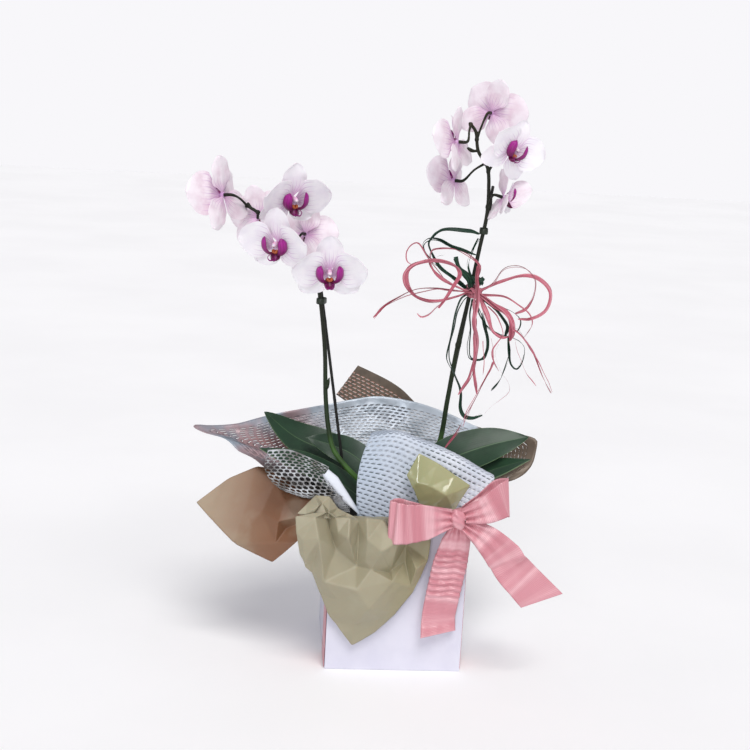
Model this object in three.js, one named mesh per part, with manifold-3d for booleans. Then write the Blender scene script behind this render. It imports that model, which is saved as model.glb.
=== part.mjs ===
// Potted moth orchid in a square paperboard gift box, with wrapping papers, a ribbon bow and a raffia bow.
// Millimetres, +Z up, the front faces -Y. Origin: centre of the box's underside, z = 0.
import * as THREE from 'three';
import { mergeVertices } from 'three/addons/utils/BufferGeometryUtils.js';
import Module from 'manifold-3d';

const wasm = await Module();
wasm.setup();

// ---------------------------------------------------------------- driving dimensions
const BOX = { side: 135, height: 155, board: 1.6, floor: 2.0 };
const POT = { base: 43, shoulder: 55, rim: 59, bottom: 2.1, top: 134, ledge: 9, wall: 1.6 };
const BARK = { gap: 0.5, top: 126 };
const CROWN = { top: 172, radius: 9.5 };
const SHEET = { tissue: 1.2, honeycomb: 1.2, ribbon: 1.2 };
const STEM = { base: 2.6, tip: 1.5, pedicel: 1.1, stake: 1.5 };
const LEAF = 2.4;
const RIBBON_WIDTH = 38;
const FLOWER = { petal: 1.1, lip: 1.2, reach: 3.3 };

const v3 = (x, y, z) => new THREE.Vector3(x, y, z);
const pts = (list) => list.map(([x, y, z]) => v3(x, y, z));

// ---------------------------------------------------------------- materials
const COLOURS = {
  board: [0xdedcea, 0.75], dark_plastic: [0x20201f, 0.5], bark: [0x4a3426, 0.95], crown: [0x4f6b35, 0.6],
  leaf: [0x2f5535, 0.4], stem: [0x4a5a2c, 0.5], stake: [0x1c1f1a, 0.6], clip: [0x3c5a34, 0.5],
  petal: [0xece6ee, 0.6], lip: [0x8e1a7c, 0.5], tissue: [0xa39a72, 0.6], honeycomb: [0xdde3ee, 0.5],
  ribbon: [0xd88a93, 0.6], raffia_pink: [0xc8626f, 0.7], raffia_green: [0x1f4a35, 0.7],
};
const material = (slot) => new THREE.MeshStandardMaterial({
  name: slot, color: COLOURS[slot][0], roughness: COLOURS[slot][1], metalness: 0,
});

// ---------------------------------------------------------------- solids
function toSolid(geometry) {
  const bare = new THREE.BufferGeometry();
  bare.setAttribute('position', geometry.getAttribute('position').clone());
  if (geometry.index) bare.setIndex(geometry.index.clone());
  const g = mergeVertices(bare, 1e-4);
  return new wasm.Manifold(new wasm.Mesh({
    numProp: 3,
    vertProperties: new Float32Array(g.getAttribute('position').array),
    triVerts: new Uint32Array(g.index.array),
  }));
}

function toGeometry(solid) {
  const m = solid.getMesh();
  const g = new THREE.BufferGeometry();
  g.setAttribute('position', new THREE.BufferAttribute(new Float32Array(m.vertProperties), 3));
  g.setIndex(Array.from(m.triVerts));
  g.computeVertexNormals();
  return g;
}

// The union of several geometries, as one body. A piece that came out inside out is refused.
function fuse(list, tolerance = 0.2) {
  let all = null;
  for (const g of list) {
    const s = toSolid(g);
    if (s.volume() <= 0) throw new Error('a piece to fuse is empty or inside out');
    all = all ? all.add(s) : s;
  }
  // a void closed off between the pieces is filled
  const bodies = all.simplify(tolerance).decompose().filter((b) => b.volume() > 0);
  if (bodies.length !== 1) throw new Error(`the fused pieces make ${bodies.length} bodies`);
  return toGeometry(bodies[0]);
}

// One body less another one; only the largest piece is kept.
function cut(whole, tool) {
  const left = toSolid(whole).subtract(toSolid(tool)).decompose();
  left.sort((a, b) => b.volume() - a.volume());
  return toGeometry(left[0]);
}

// A closed skin over rings of points, one ring after another, with a flat fan at each end.
function skin(rings) {
  const n = rings[0].length;
  const pos = [];
  const idx = [];
  rings.forEach((ring) => ring.forEach((p) => pos.push(p.x, p.y, p.z)));
  for (let r = 0; r + 1 < rings.length; r++) {
    for (let k = 0; k < n; k++) {
      const a = r * n + k;
      const b = r * n + ((k + 1) % n);
      idx.push(a, b, a + n, b, b + n, a + n);
    }
  }
  const last = (rings.length - 1) * n;
  for (let k = 1; k + 1 < n; k++) {
    idx.push(0, k + 1, k);
    idx.push(last, last + k, last + k + 1);
  }
  return closed(pos, idx);
}

// Turns the triangles over if the volume comes out negative, so that they face outwards.
function closed(pos, idx) {
  let volume = 0;
  const p = (i) => v3(pos[3 * i], pos[3 * i + 1], pos[3 * i + 2]);
  for (let t = 0; t < idx.length; t += 3) {
    volume += p(idx[t]).dot(p(idx[t + 1]).cross(p(idx[t + 2])));
  }
  if (volume < 0) {
    for (let t = 0; t < idx.length; t += 3) [idx[t + 1], idx[t + 2]] = [idx[t + 2], idx[t + 1]];
  }
  const g = new THREE.BufferGeometry();
  g.setAttribute('position', new THREE.Float32BufferAttribute(pos, 3));
  g.setIndex(idx);
  g.computeVertexNormals();
  return g;
}

// A body turned about +Z from a profile of [radius, height] points, which starts and ends on the axis.
function turned(profile, segments) {
  const g = mergeVertices(new THREE.LatheGeometry(profile.map(([r, z]) => new THREE.Vector2(r, z)), segments)
    .deleteAttribute('uv').deleteAttribute('normal').rotateX(Math.PI / 2), 1e-4);
  return closed(Array.from(g.getAttribute('position').array), Array.from(g.index.array));
}

// A round bar along a smooth line through the points; the radius runs from r0 to r1.
function bar(points, r0, r1 = r0, steps = 12, sides = 6) {
  const line = points.length > 2 ? new THREE.CatmullRomCurve3(points, false, 'centripetal')
    : new THREE.LineCurve3(points[0], points[1]);
  const frames = line.computeFrenetFrames(steps, false);
  const rings = [];
  for (let i = 0; i <= steps; i++) {
    const c = line.getPointAt(i / steps);
    const r = r0 + (r1 - r0) * (i / steps);
    const ring = [];
    for (let k = 0; k < sides; k++) {
      const a = (2 * Math.PI * k) / sides;
      ring.push(c.clone()
        .addScaledVector(frames.normals[i], r * Math.cos(a))
        .addScaledVector(frames.binormals[i], r * Math.sin(a)));
    }
    rings.push(ring);
  }
  return skin(rings);
}

// A flat strap along a smooth line: `across` gives the direction of its width at each point.
function strap(points, across, widths, thick, steps) {
  const line = new THREE.CatmullRomCurve3(points, false, 'centripetal');
  const at = (list, u) => {
    const f = u * (list.length - 1);
    const i = Math.min(Math.floor(f), list.length - 2);
    return [list[i], list[i + 1], f - i];
  };
  const rings = [];
  for (let i = 0; i <= steps; i++) {
    const u = i / steps;
    const c = line.getPoint(u);
    const along = line.getTangent(u);
    const [a, b, f] = at(across, u);
    const [w0, w1, g] = at(widths, u);
    const side = a.clone().lerp(b, f);
    side.addScaledVector(along, -side.dot(along)).normalize();
    const up = along.clone().cross(side).normalize();
    const w = (w0 + (w1 - w0) * g) / 2;
    const corner = (s, t) => c.clone().addScaledVector(side, s * w).addScaledVector(up, t * thick / 2);
    rings.push([corner(-1, -1), corner(1, -1), corner(1, 1), corner(-1, 1)]);
  }
  return skin(rings);
}

// A thin sheet over a surface P(u, v), u and v from 0 to 1.
function sheet(P, nu, nv, thick) {
  const e = 1e-3;
  const rings = [];
  for (let i = 0; i <= nu; i++) {
    const top = [];
    const bottom = [];
    for (let j = 0; j <= nv; j++) {
      const u = i / nu;
      const v = j / nv;
      const du = P(Math.min(u + e, 1), v).sub(P(Math.max(u - e, 0), v));
      const dv = P(u, Math.min(v + e, 1)).sub(P(u, Math.max(v - e, 0)));
      const n = du.cross(dv).normalize();
      const c = P(u, v);
      top.push(c.clone().addScaledVector(n, thick / 2));
      bottom.unshift(c.clone().addScaledVector(n, -thick / 2));
    }
    rings.push(top.concat(bottom));
  }
  // both end faces are strips between the two sides, so the rings are joined by hand
  const n = rings[0].length;
  const pos = rings.flatMap((ring) => ring.flatMap((p) => [p.x, p.y, p.z]));
  const idx = [];
  for (let r = 0; r < nu; r++) {
    for (let k = 0; k < n; k++) {
      const a = r * n + k;
      const b = r * n + ((k + 1) % n);
      idx.push(a, b, a + n, b, b + n, a + n);
    }
  }
  const end = nu * n;
  for (let j = 0; j < nv; j++) {
    const [a, b, c, d] = [j, j + 1, n - 2 - j, n - 1 - j];
    idx.push(a, c, b, a, d, c);
    idx.push(end + a, end + b, end + c, end + a, end + c, end + d);
  }
  return closed(pos, idx);
}

// A smooth surface through a net of points: rows run along v, the list of rows along u.
function net(rows) {
  const lines = rows.map((row) => new THREE.CatmullRomCurve3(pts(row), false, 'centripetal'));
  return (u, v) => {
    const across = new THREE.CatmullRomCurve3(lines.map((l) => l.getPoint(v)), false, 'centripetal');
    return across.getPoint(u);
  };
}

// ---------------------------------------------------------------- box, pot, bark, crown
function giftBox() {
  const { side, height, board, floor } = BOX;
  const outer = new THREE.BoxGeometry(side, side, height).translate(0, 0, height / 2);
  const inner = new THREE.BoxGeometry(side - 2 * board, side - 2 * board, height)
    .translate(0, 0, height / 2 + floor);
  return cut(outer, inner);
}

function growPot() {
  const { base, shoulder, rim, bottom, top, ledge, wall } = POT;
  const p = [
    [0, bottom], [base, bottom], [shoulder, top - ledge], [rim, top - ledge], [rim, top],
    [rim - wall, top], [rim - wall, top - ledge + wall], [shoulder - wall, top - ledge + wall],
    [base - wall, bottom + wall], [0, bottom + wall],
  ];
  return turned(p, 24);
}

function barkMix() {
  const { base, shoulder, bottom, top, ledge, wall } = POT;
  const z0 = bottom + wall + BARK.gap;
  const slope = (shoulder - base) / (top - ledge - bottom);
  const r = (z) => base - wall - BARK.gap + slope * (z - bottom) - 0.4;
  const p = [[0, z0], [r(z0), z0], [r(BARK.top - 6), BARK.top - 6], [r(BARK.top - 6) - 3, BARK.top - 2],
    [34, BARK.top], [16, BARK.top + 1.5], [0, BARK.top + 1.5]];
  const body = turned(p, 20);
  // the two stakes stand in the bark, each in a hole of its own
  const hole = (line) => bar(line, STEM.stake + 0.5, STEM.stake + 0.5, 1, 8);
  const left = stakeLine(STAKES.left, -2, 0.4);
  const right = stakeLine(STAKES.right, -2, 0.4);
  return cut(toGeometry(toSolid(body).subtract(toSolid(hole(left)))), hole(right));
}

function crown() {
  const r = CROWN.radius;
  const p = [[0, 128.2], [r - 4, 128.2], [r - 1, 134], [r, 146], [r - 2, 158], [r - 6, 168], [0, CROWN.top]];
  return turned(p, 12).scale(1, 0.8, 1);
}

// ---------------------------------------------------------------- leaves
// Each leaf: its midrib from the crown to the tip, the way its upper face looks, and its greatest width.
const LEAVES = {
  leaf_left_back: { rib: [[-12, 7, 150], [-34, 22, 178], [-67, 29, 195], [-105, 29, 212], [-136, 27, 237]], face: [0.25, -0.72, 0.62], width: 42 },
  leaf_left_middle: { rib: [[-13, 1, 158], [-27, 10, 184], [-46, 15, 199], [-68, 15, 208], [-93, 14, 215]], face: [-0.2, -0.85, 0.5], width: 30 },
  leaf_left_front: { rib: [[-13, -4, 136], [-36, -15, 160], [-70, -27, 187], [-105, -33, 203], [-140, -34, 215]], face: [0.1, -0.5, 0.85], width: 32 },
  leaf_right_back: { rib: [[6, 13, 142], [16, 33, 170], [42, 44, 184], [70, 46, 190]], face: [-0.3, -0.3, 0.9], width: 28 },
  leaf_right_top: { rib: [[13, -1, 158], [28, -8, 186], [56, -12, 206], [92, -11, 220], [131, -8, 229]], face: [-0.2, -0.72, 0.66], width: 44 },
  leaf_right_front: { rib: [[12, -4, 142], [30, -14, 164], [60, -22, 182], [96, -24, 198], [132, -24, 210]], face: [-0.15, -0.35, 0.92], width: 34 },
};

function leaf({ rib, face, width }) {
  const line = new THREE.CatmullRomCurve3(pts(rib), false, 'centripetal');
  const up = v3(...face).normalize();
  const steps = 9;
  const rings = [];
  for (let i = 0; i <= steps; i++) {
    const u = (1 - Math.cos(Math.PI * i / steps)) / 2;
    const c = line.getPointAt(u);
    const along = line.getTangentAt(u);
    const side = along.clone().cross(up).normalize();
    const n = side.clone().cross(along).normalize();
    const w = (width / 2) * Math.max(0.1, (0.34 + 0.66 * Math.sin(Math.PI * Math.min(u * 0.95 + 0.02, 1)) ** 0.8)
      * (1 - Math.max(0, (u - 0.72) / 0.28) ** 2.2));
    const t = LEAF / 2;
    const at = (s, h) => c.clone().addScaledVector(side, s * w).addScaledVector(n, h);
    const keel = 0.16 * w;
    rings.push([at(-1, keel - t * 0.5), at(0, -t), at(1, keel - t * 0.5), at(1, keel + t * 0.5), at(0, t * 0.6), at(-1, keel + t * 0.5)]);
  }
  return skin(rings);
}

// ---------------------------------------------------------------- flower spikes, stakes, clips
const STAKES = {
  left: { foot: [-33, 0, 60], head: [-87, 5.5, 380] },
  right: { foot: [22, 19, 60], head: [79, 6.5, 478] },
};
const SPIKES = {
  left: {
    stem: [[-10, -12, 148], [-26, -20, 172], [-42, -22, 185], [-54, -20, 196], [-66, -15, 211], [-72, -10, 232], [-76, -6, 262],
      [-79, -2, 310], [-86, -0.4, 361], [-89, 1, 375], [-99, 3, 397], [-118, 4, 416], [-136, 4, 433], [-152, 4, 443], [-161, 5, 448]],
    nodes: [[-76, -5.4, 274]],
    bud: [[-154, 4, 444], [-158, 9, 446], [-160, 12, 449]],
  },
  right: {
    stem: [[12, 7, 150], [26, 9, 182], [42, 9.5, 212], [48, 7.5, 260], [54, 6.5, 313], [62, 4.5, 364], [69, 2.5, 415], [74, 1, 450],
      [74, 0.5, 475], [71, 0, 497], [61, 0, 512], [57, 0, 531], [51, 0, 538]],
    nodes: [[55, 6.2, 318], [75, 1, 458]],
    bud: [[61, 0, 512], [55, -1, 512], [51, -2, 514]],
  },
};

const STAKE = (s) => [v3(...s.foot), v3(...s.head)];

// The point of a line at height z.
const onLine = (a, b, z) => a.clone().lerp(b, (z - a.z) / (b.z - a.z));

// A stake's line, pushed out at the foot by `down` and at the head by `up`.
function stakeLine(s, down, up) {
  const [a, b] = STAKE(s);
  const d = b.clone().sub(a).normalize();
  return [a.clone().addScaledVector(d, down), b.clone().addScaledVector(d, up)];
}

// The point of a line that is nearest to p.
function nearest(line, p) {
  return line.getSpacedPoints(200).reduce((a, b) => (a.distanceTo(p) < b.distanceTo(p) ? a : b));
}

function spike(which) {
  const { stem, nodes, bud } = SPIKES[which];
  const line = new THREE.CatmullRomCurve3(pts(stem), false, 'centripetal');
  const parts = [bar(pts(stem), STEM.base, STEM.tip, 24, 6), bar(pts(bud), 0.9, 1.6, 3, 5)];
  for (const n of nodes) parts.push(new THREE.SphereGeometry(3.1, 6, 4).scale(1, 1, 1.5).translate(...n));
  for (const f of Object.values(FLOWERS)) {
    if (f.spike !== which) continue;
    const hub = v3(...f.hub);
    const back = v3(0, 1, 0).applyMatrix4(turn(f));
    const end = hub.clone().addScaledVector(back, FLOWER.reach + 1.2);
    const lead = hub.clone().addScaledVector(back, 11);
    const root = nearest(line, v3(...f.root));
    const mid = root.clone().lerp(lead, 0.5).add(v3(0, 0, 2));
    parts.push(bar([root, mid, lead, end], STEM.pedicel, 1.0, 5, 4));
  }
  return fuse(parts);
}

// The clip that holds a stem to its stake: an oval band round both, `at` gives the height.
function clip(stem, stake, tall) {
  const middle = stem.clone().add(stake).multiplyScalar(0.5);
  const d = stake.clone().sub(stem).setZ(0);
  const oval = (extra) => {
    const s = new THREE.Shape();
    const r = 3.0 + extra;
    const h = d.length() / 2;
    s.absarc(h, 0, r, -Math.PI / 2, Math.PI / 2, false);
    s.absarc(-h, 0, r, Math.PI / 2, 1.5 * Math.PI, false);
    return s;
  };
  const band = oval(1.3);
  band.holes.push(new THREE.Path(oval(0).getPoints(4).reverse()));
  return new THREE.ExtrudeGeometry(band, { depth: tall, bevelEnabled: false, curveSegments: 4 })
    .translate(0, 0, -tall / 2).rotateZ(Math.atan2(d.y, d.x)).translate(middle.x, middle.y, middle.z);
}

// ---------------------------------------------------------------- flowers
// yaw: 0 faces the front, positive turns to the right; nod: positive looks down; roll: positive leans right.
const FLOWERS = {
  left_1: { spike: 'left', hub: [-185, -15, 459], root: [-166, 1, 450], yaw: -126, nod: 6, roll: 12, size: 1.04 },
  left_2: { spike: 'left', hub: [-118, -14, 458], root: [-137, 3, 434], yaw: 25, nod: 25, roll: -4, size: 1.0 },
  left_3: { spike: 'left', hub: [-149, 22, 436], root: [-150, 3, 442], yaw: 172, nod: 0, roll: 14, size: 0.86 },
  left_4: { spike: 'left', hub: [-130, -38, 417], root: [-119, 3, 417], yaw: -25, nod: 24, roll: 2, size: 1.0 },
  left_5: { spike: 'left', hub: [-102, 28, 420], root: [-112, 4, 411], yaw: 158, nod: 8, roll: -10, size: 0.86 },
  left_6: { spike: 'left', hub: [-80, -40, 393], root: [-98, 2, 396], yaw: 0, nod: 25, roll: -2, size: 1.02 },
  right_1: { spike: 'right', hub: [73, 10, 549], root: [63, 0, 524], yaw: 150, nod: -4, roll: -20, size: 0.94 },
  right_2: { spike: 'right', hub: [38, -9, 520], root: [52, 0, 537], yaw: -117, nod: 6, roll: 6, size: 0.92 },
  right_3: { spike: 'right', hub: [41, 18, 481], root: [68, 0, 500], yaw: 230, nod: 4, roll: -4, size: 0.9 },
  right_4: { spike: 'right', hub: [90, -24, 515], root: [72, 0, 493], yaw: 22, nod: 12, roll: 24, size: 0.86 },
  right_5: { spike: 'right', hub: [88, -10, 469], root: [74, 0, 458], yaw: 100, nod: 12, roll: 18, size: 0.76 },
};

function turn({ yaw, nod, roll }) {
  const r = THREE.MathUtils.degToRad;
  return new THREE.Matrix4().makeRotationZ(r(yaw))
    .multiply(new THREE.Matrix4().makeRotationX(r(nod)))
    .multiply(new THREE.Matrix4().makeRotationY(r(roll)));
}

// One tepal standing up from the hub and facing the front, then leant and swung round the hub.
function tepal({ length, width, claw, cup, arch, swing, lean, y }) {
  const P = (u, v) => {
    const s = (1 - Math.cos(Math.PI * u)) / 2;
    const w = (width / 2) * Math.max(claw, Math.sin(Math.PI * Math.min(s * 0.94 + 0.05, 1)) ** 0.62 * Math.min(1, claw + s * 2.6));
    const t = 2 * v - 1;
    return v3(t * w, y - cup * t * t + arch * s * s, 1.4 + length * s);
  };
  return sheet(P, 4, 2, FLOWER.petal)
    .rotateX(THREE.MathUtils.degToRad(lean)).rotateY(THREE.MathUtils.degToRad(swing));
}

const SEPAL = { length: 36, width: 22, claw: 0.14, cup: 1.5, arch: 1, y: 1.4 };
const PETAL = { length: 36, width: 38, claw: 0.1, cup: 1.6, arch: 1, y: -0.6 };

function flowerPlace(f) {
  return new THREE.Matrix4().makeTranslation(...f.hub).multiply(turn(f))
    .multiply(new THREE.Matrix4().makeScale(f.size, f.size, f.size));
}

function tepals(f) {
  const five = [
    tepal({ ...SEPAL, swing: 0, lean: -5 }),
    tepal({ ...SEPAL, swing: 133, lean: -5 }),
    tepal({ ...SEPAL, swing: -133, lean: -5 }),
    tepal({ ...PETAL, swing: 72, lean: 18 }),
    tepal({ ...PETAL, swing: -72, lean: 18 }),
    new THREE.SphereGeometry(3.2, 6, 4).scale(1, 0.85, 1).translate(0, 0.5, 0),
  ];
  return fuse(five).applyMatrix4(flowerPlace(f));
}

// The lip (two side lobes and a pointed middle lobe) with the column above it, in front of the tepals.
function lip(f) {
  const side = (sign) => sheet((u, v) => v3(
    sign * (2.2 + 7.6 * u), -4.2 - 3.6 * u + 1.2 * (2 * v - 1) ** 2, 2.5 + (2 * v - 1) * (2 + 6 * Math.sin(Math.PI * (0.15 + 0.7 * u))) + 3.5 * u,
  ), 2, 2, FLOWER.lip);
  const middle = sheet((u, v) => {
    const w = 3.0 + 3.6 * Math.sin(Math.PI * Math.min(1, 0.2 + u * 0.78));
    return v3((2 * v - 1) * w * (1 - 0.55 * u), -3.6 - 7 * u + 2.4 * u * u, 1.5 - 12 * u);
  }, 3, 2, FLOWER.lip);
  const column = new THREE.SphereGeometry(2.6, 5, 4).scale(1, 1.5, 1).translate(0, -6.2, 3);
  return fuse([side(1), side(-1), middle, column]).translate(0, -1.6, 0).applyMatrix4(flowerPlace(f));
}

// ---------------------------------------------------------------- papers
// Each paper is a net of points: the first rows stand inside the box, the last ones are the free edge.
const TISSUE_FRONT = [
  [[-58, -62.6, 122], [-44, -63, 122], [-28, -63, 122], [-12, -63, 122], [2, -63, 122]],
  [[-60, -63.4, 148], [-44, -63.8, 148], [-28, -63.8, 148], [-12, -63.8, 148], [4, -63.8, 148]],
  [[-62, -65.4, 158.5], [-46, -66, 158.5], [-29, -66, 158.5], [-12, -66, 158.5], [6, -66, 158.5]],
  [[-78, -71, 163], [-53, -71, 163], [-32, -71, 162], [-10, -71, 162], [13, -71, 161]],
  [[-101, -86, 163], [-70, -92, 155], [-38, -84, 148], [-6, -84, 148], [24, -78, 156]],
  [[-101, -90, 138], [-68, -95, 132], [-42, -84, 120], [-14, -88, 122], [28, -80, 134]],
  [[-90, -88, 110], [-62, -92, 102], [-40, -82, 92], [-12, -84, 96], [21, -77, 100]],
  [[-72, -79, 72], [-54, -84, 66], [-38, -78, 60], [-18, -80, 64], [4, -74, 72]],
  [[-50, -74, 38], [-46, -75, 31], [-41, -74, 27], [-30, -74, 34], [-18, -73, 44]],
];
const TISSUE_LEFT = [
  [[-63.8, -58, 126], [-63.8, -36, 126], [-63.8, -14, 126], [-63.8, 6, 126], [-63.8, 22, 126]],
  [[-63.9, -58, 148], [-63.9, -36, 148], [-63.9, -14, 148], [-63.9, 6, 148], [-63.9, 22, 148]],
  [[-66, -57, 159], [-66, -36, 159], [-66, -14, 159], [-66, 5, 159], [-66, 21, 159]],
  [[-73, -56, 160], [-74, -40, 161], [-75, -20, 162], [-75, -2, 163], [-75, 14, 163]],
  [[-88, -56, 142], [-92, -48, 144], [-104, -36, 156], [-106, -18, 168], [-104, -2, 172]],
  [[-96, -58, 130], [-108, -48, 128], [-130, -38, 142], [-145, -22, 160], [-142, -8, 176]],
  [[-102, -59, 122], [-124, -44, 102], [-170, -34, 126], [-199, -22, 156], [-172, -14, 184]],
];
const TISSUE_UPRIGHT = [
  [[14, -63, 128], [26, -63.2, 128], [38, -63.2, 128], [50, -63, 128]],
  [[12, -63.8, 158], [26, -64.2, 158], [40, -64.2, 158], [54, -63.6, 158]],
  [[6, -64, 180], [24, -78, 176], [40, -80, 172], [58, -70, 176]],
  [[2, -64, 198], [20, -76, 198], [42, -78, 190], [64, -72, 192]],
  [[14, -64, 222], [19, -67, 219], [26, -67, 215], [34, -66, 210]],
];
const HONEYCOMB_BACK = [
  // foot in the box, at the rim, half way out, free edge; from the left front round the back to the right
  [[-61.5, -46, 124], [-62.5, -47, 166], [-74, -49, 172], [-88, -50, 177]],
  [[-61.5, -24, 124], [-62.8, -26, 166], [-88, -36, 182], [-113, -42, 186]],
  [[-61.5, -4, 124], [-62.8, -4, 166], [-104, -14, 190], [-146, -20, 200]],
  [[-61.5, 10, 124], [-62.8, 10, 166], [-118, 4, 196], [-176, 4, 211]],
  [[-61.5, 24, 124], [-62.8, 24, 166], [-132, 22, 200], [-204, 20, 224]],
  [[-61.5, 38, 124], [-62.8, 38, 166], [-104, 44, 202], [-136, 46, 228]],
  [[-60, 52, 124], [-61, 54, 166], [-84, 60, 202], [-99, 62, 233]],
  [[-48, 61, 124], [-49, 63, 166], [-60, 72, 204], [-66, 78, 241]],
  [[-28, 62, 124], [-29, 63, 166], [-36, 78, 216], [-41, 96, 270]],
  [[-10, 62, 124], [-10, 63, 166], [-12, 74, 206], [-14, 86, 248]],
  [[14, 62, 124], [14, 63, 166], [20, 73, 202], [24, 84, 238]],
  [[36, 62, 124], [37, 63, 166], [48, 70, 200], [58, 78, 231]],
  [[54, 58, 124], [56, 60, 166], [74, 62, 194], [94, 65, 219]],
  [[61.5, 44, 124], [62.8, 46, 166], [104, 46, 190], [149, 40, 214]],
  [[61.5, 26, 124], [62.8, 26, 166], [100, 24, 180], [141, 20, 188]],
  [[61.5, 8, 124], [62.8, 8, 166], [82, 6, 172], [104, 4, 176]],
];
const HONEYCOMB_FLAP = [
  [[-40, -59.4, 126], [-14, -60, 126], [12, -60, 126], [36, -60, 126], [56, -58, 126]],
  [[-44, -60, 160], [-14, -61, 160], [12, -61, 160], [38, -60.6, 160], [62, -58, 160]],
  [[-44, -56, 188], [-18, -59, 192], [12, -60, 188], [42, -58, 184], [74, -54, 180]],
  [[-33, -47, 236], [-8, -50, 240], [18, -52, 232], [50, -52, 220], [92, -50, 198]],
];
const HONEYCOMB_CURL = [
  [[-58, -60, 128], [-57, -60.4, 128], [-55, -60.6, 128], [-52, -60.6, 128]],
  [[-60, -60.6, 162], [-57, -61.4, 162], [-54, -61.8, 162], [-50, -61.8, 162]],
  [[-84, -62, 178], [-74, -66, 176], [-64, -66, 174], [-52, -62, 174]],
  [[-118, -62, 182], [-98, -68, 178], [-80, -70, 178], [-62, -66, 180]],
  [[-134, -58, 200], [-112, -58, 200], [-92, -58, 200], [-74, -60, 196]],
  [[-132, -50, 218], [-112, -50, 219], [-92, -50, 212], [-72, -54, 204]],
];

// ---------------------------------------------------------------- ribbon
const Z = v3(0, 0, 1);
const RIBBON = {
  knot: [51, -97, 169],
  loop_left: [[41.5, -100, 169], [22, -106, 167], [-4, -104, 164], [-14, -97, 164], [-4, -89, 165], [20, -90, 167], [41.5, -94, 169]],
  loop_right: [[62.5, -100, 173], [76, -106, 180], [94, -102, 190], [99, -95, 191], [92, -88, 190], [76, -89, 182], [62.5, -94, 175]],
  tail_front: [[50, -94, 158], [51, -90, 146], [49, -83, 120], [46, -78, 88], [43, -74, 46]],
  tail_right: [[62.5, -97, 161], [78, -101, 152], [98, -103, 134], [119, -100, 110], [139, -97, 88]],
};

function bow(which) {
  const w = RIBBON_WIDTH;
  if (which === 'loop_left') {
    return strap(pts(RIBBON.loop_left), [Z, Z], [15, 26, 40, 42, 38, 24, 15], SHEET.ribbon, 22);
  }
  if (which === 'loop_right') {
    const tilt = [v3(-0.3, 0, 1), v3(-0.1, 0, 1), v3(-0.3, 0, 1)];
    return strap(pts(RIBBON.loop_right), tilt, [15, 26, 36, 39, 34, 24, 15], SHEET.ribbon, 22);
  }
  if (which === 'tail_front') {
    return strap(pts(RIBBON.tail_front), [v3(1, 0, 0.1), v3(1, 0, 0.05), v3(1, 0, -0.1)], [16, 28, 36, w, w], SHEET.ribbon, 10);
  }
  return strap(pts(RIBBON.tail_right), [v3(0.4, 0, 1), v3(0.6, 0, 0.8), v3(0.6, 0, 0.6)], [15, 26, 36, w, w], SHEET.ribbon, 10);
}

function bowKnot() {
  // a short band wrapped round the middle of the bow
  const r = [[-7, -9], [7, -9], [8, 0], [7, 9], [-7, 9], [-8, 0]];
  const rings = [-0.5, 0, 0.5].map((f) => r.map(([a, b]) => v3(
    RIBBON.knot[0] + a * (1 - 0.25 * (1 - 2 * Math.abs(f))), RIBBON.knot[1] + b * (0.8 + 0.3 * (1 - 2 * Math.abs(f))), RIBBON.knot[2] + f * 20,
  )));
  return skin(rings);
}

// A flat band down one side wall of the box, from under the rim to the bottom edge.
function sideBand(sign) {
  const x = sign * (BOX.side / 2 + 0.8);
  const y = sign < 0 ? -46 : -44;
  return strap([v3(x, y, 152), v3(x, y, 100), v3(x, y, 50), v3(x, y, 1)], [v3(0, 1, 0), v3(0, 1, 0)], [RIBBON_WIDTH, RIBBON_WIDTH], SHEET.ribbon, 3);
}

// ---------------------------------------------------------------- raffia
const RAFFIA = {
  pink: { height: 375, knot: [66, -7, 375], strands: [
    [[60, -14, 375], [40, -22, 382], [14, -26, 402], [0, -27, 392], [4, -26, 368], [24, -22, 368], [60, -14, 371]],
    [[60, -14, 379], [44, -16, 392], [24, -20, 412], [8, -22, 418], [3, -22, 404], [20, -18, 388], [60, -12, 378]],
    [[66, -14, 380], [62, -20, 404], [46, -24, 418], [26, -22, 414], [44, -20, 392], [62, -14, 380]],
    [[60, -13, 372], [34, -24, 372], [4, -28, 368], [-30, -28, 345]],
    [[70, -14, 372], [70, -22, 350], [66, -24, 310], [54, -24, 272]],
    [[76, -13, 376], [92, -22, 392], [112, -26, 398], [128, -26, 388], [128, -25, 368], [110, -22, 356], [78, -13, 372]],
    [[78, -12, 374], [98, -18, 388], [126, -22, 388], [146, -22, 372], [138, -22, 350], [118, -18, 346], [78, -12, 370]],
    [[76, -12, 370], [102, -20, 362], [126, -20, 350], [132, -20, 332]],
    [[74, -12, 369], [100, -16, 348], [126, -18, 308], [150, -20, 274]],
  ] },
  green: { height: 390, knot: [66, 19, 390], strands: [
    [[66, 12, 392], [74, 14, 420], [58, 18, 438], [34, 20, 432], [26, 18, 416], [44, 14, 402], [62, 12, 392]],
    [[60, 12, 390], [48, 24, 366], [42, 24, 320], [52, 22, 276], [62, 20, 252], [76, 18, 252]],
    [[76, 12, 386], [84, 24, 372], [100, 22, 346], [122, 22, 316], [112, 20, 296], [96, 18, 278], [86, 16, 270]],
    [[70, 14, 386], [62, 25, 360], [64, 22, 312], [80, 20, 316], [84, 18, 340], [76, 14, 384]],
  ] },
};

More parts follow.
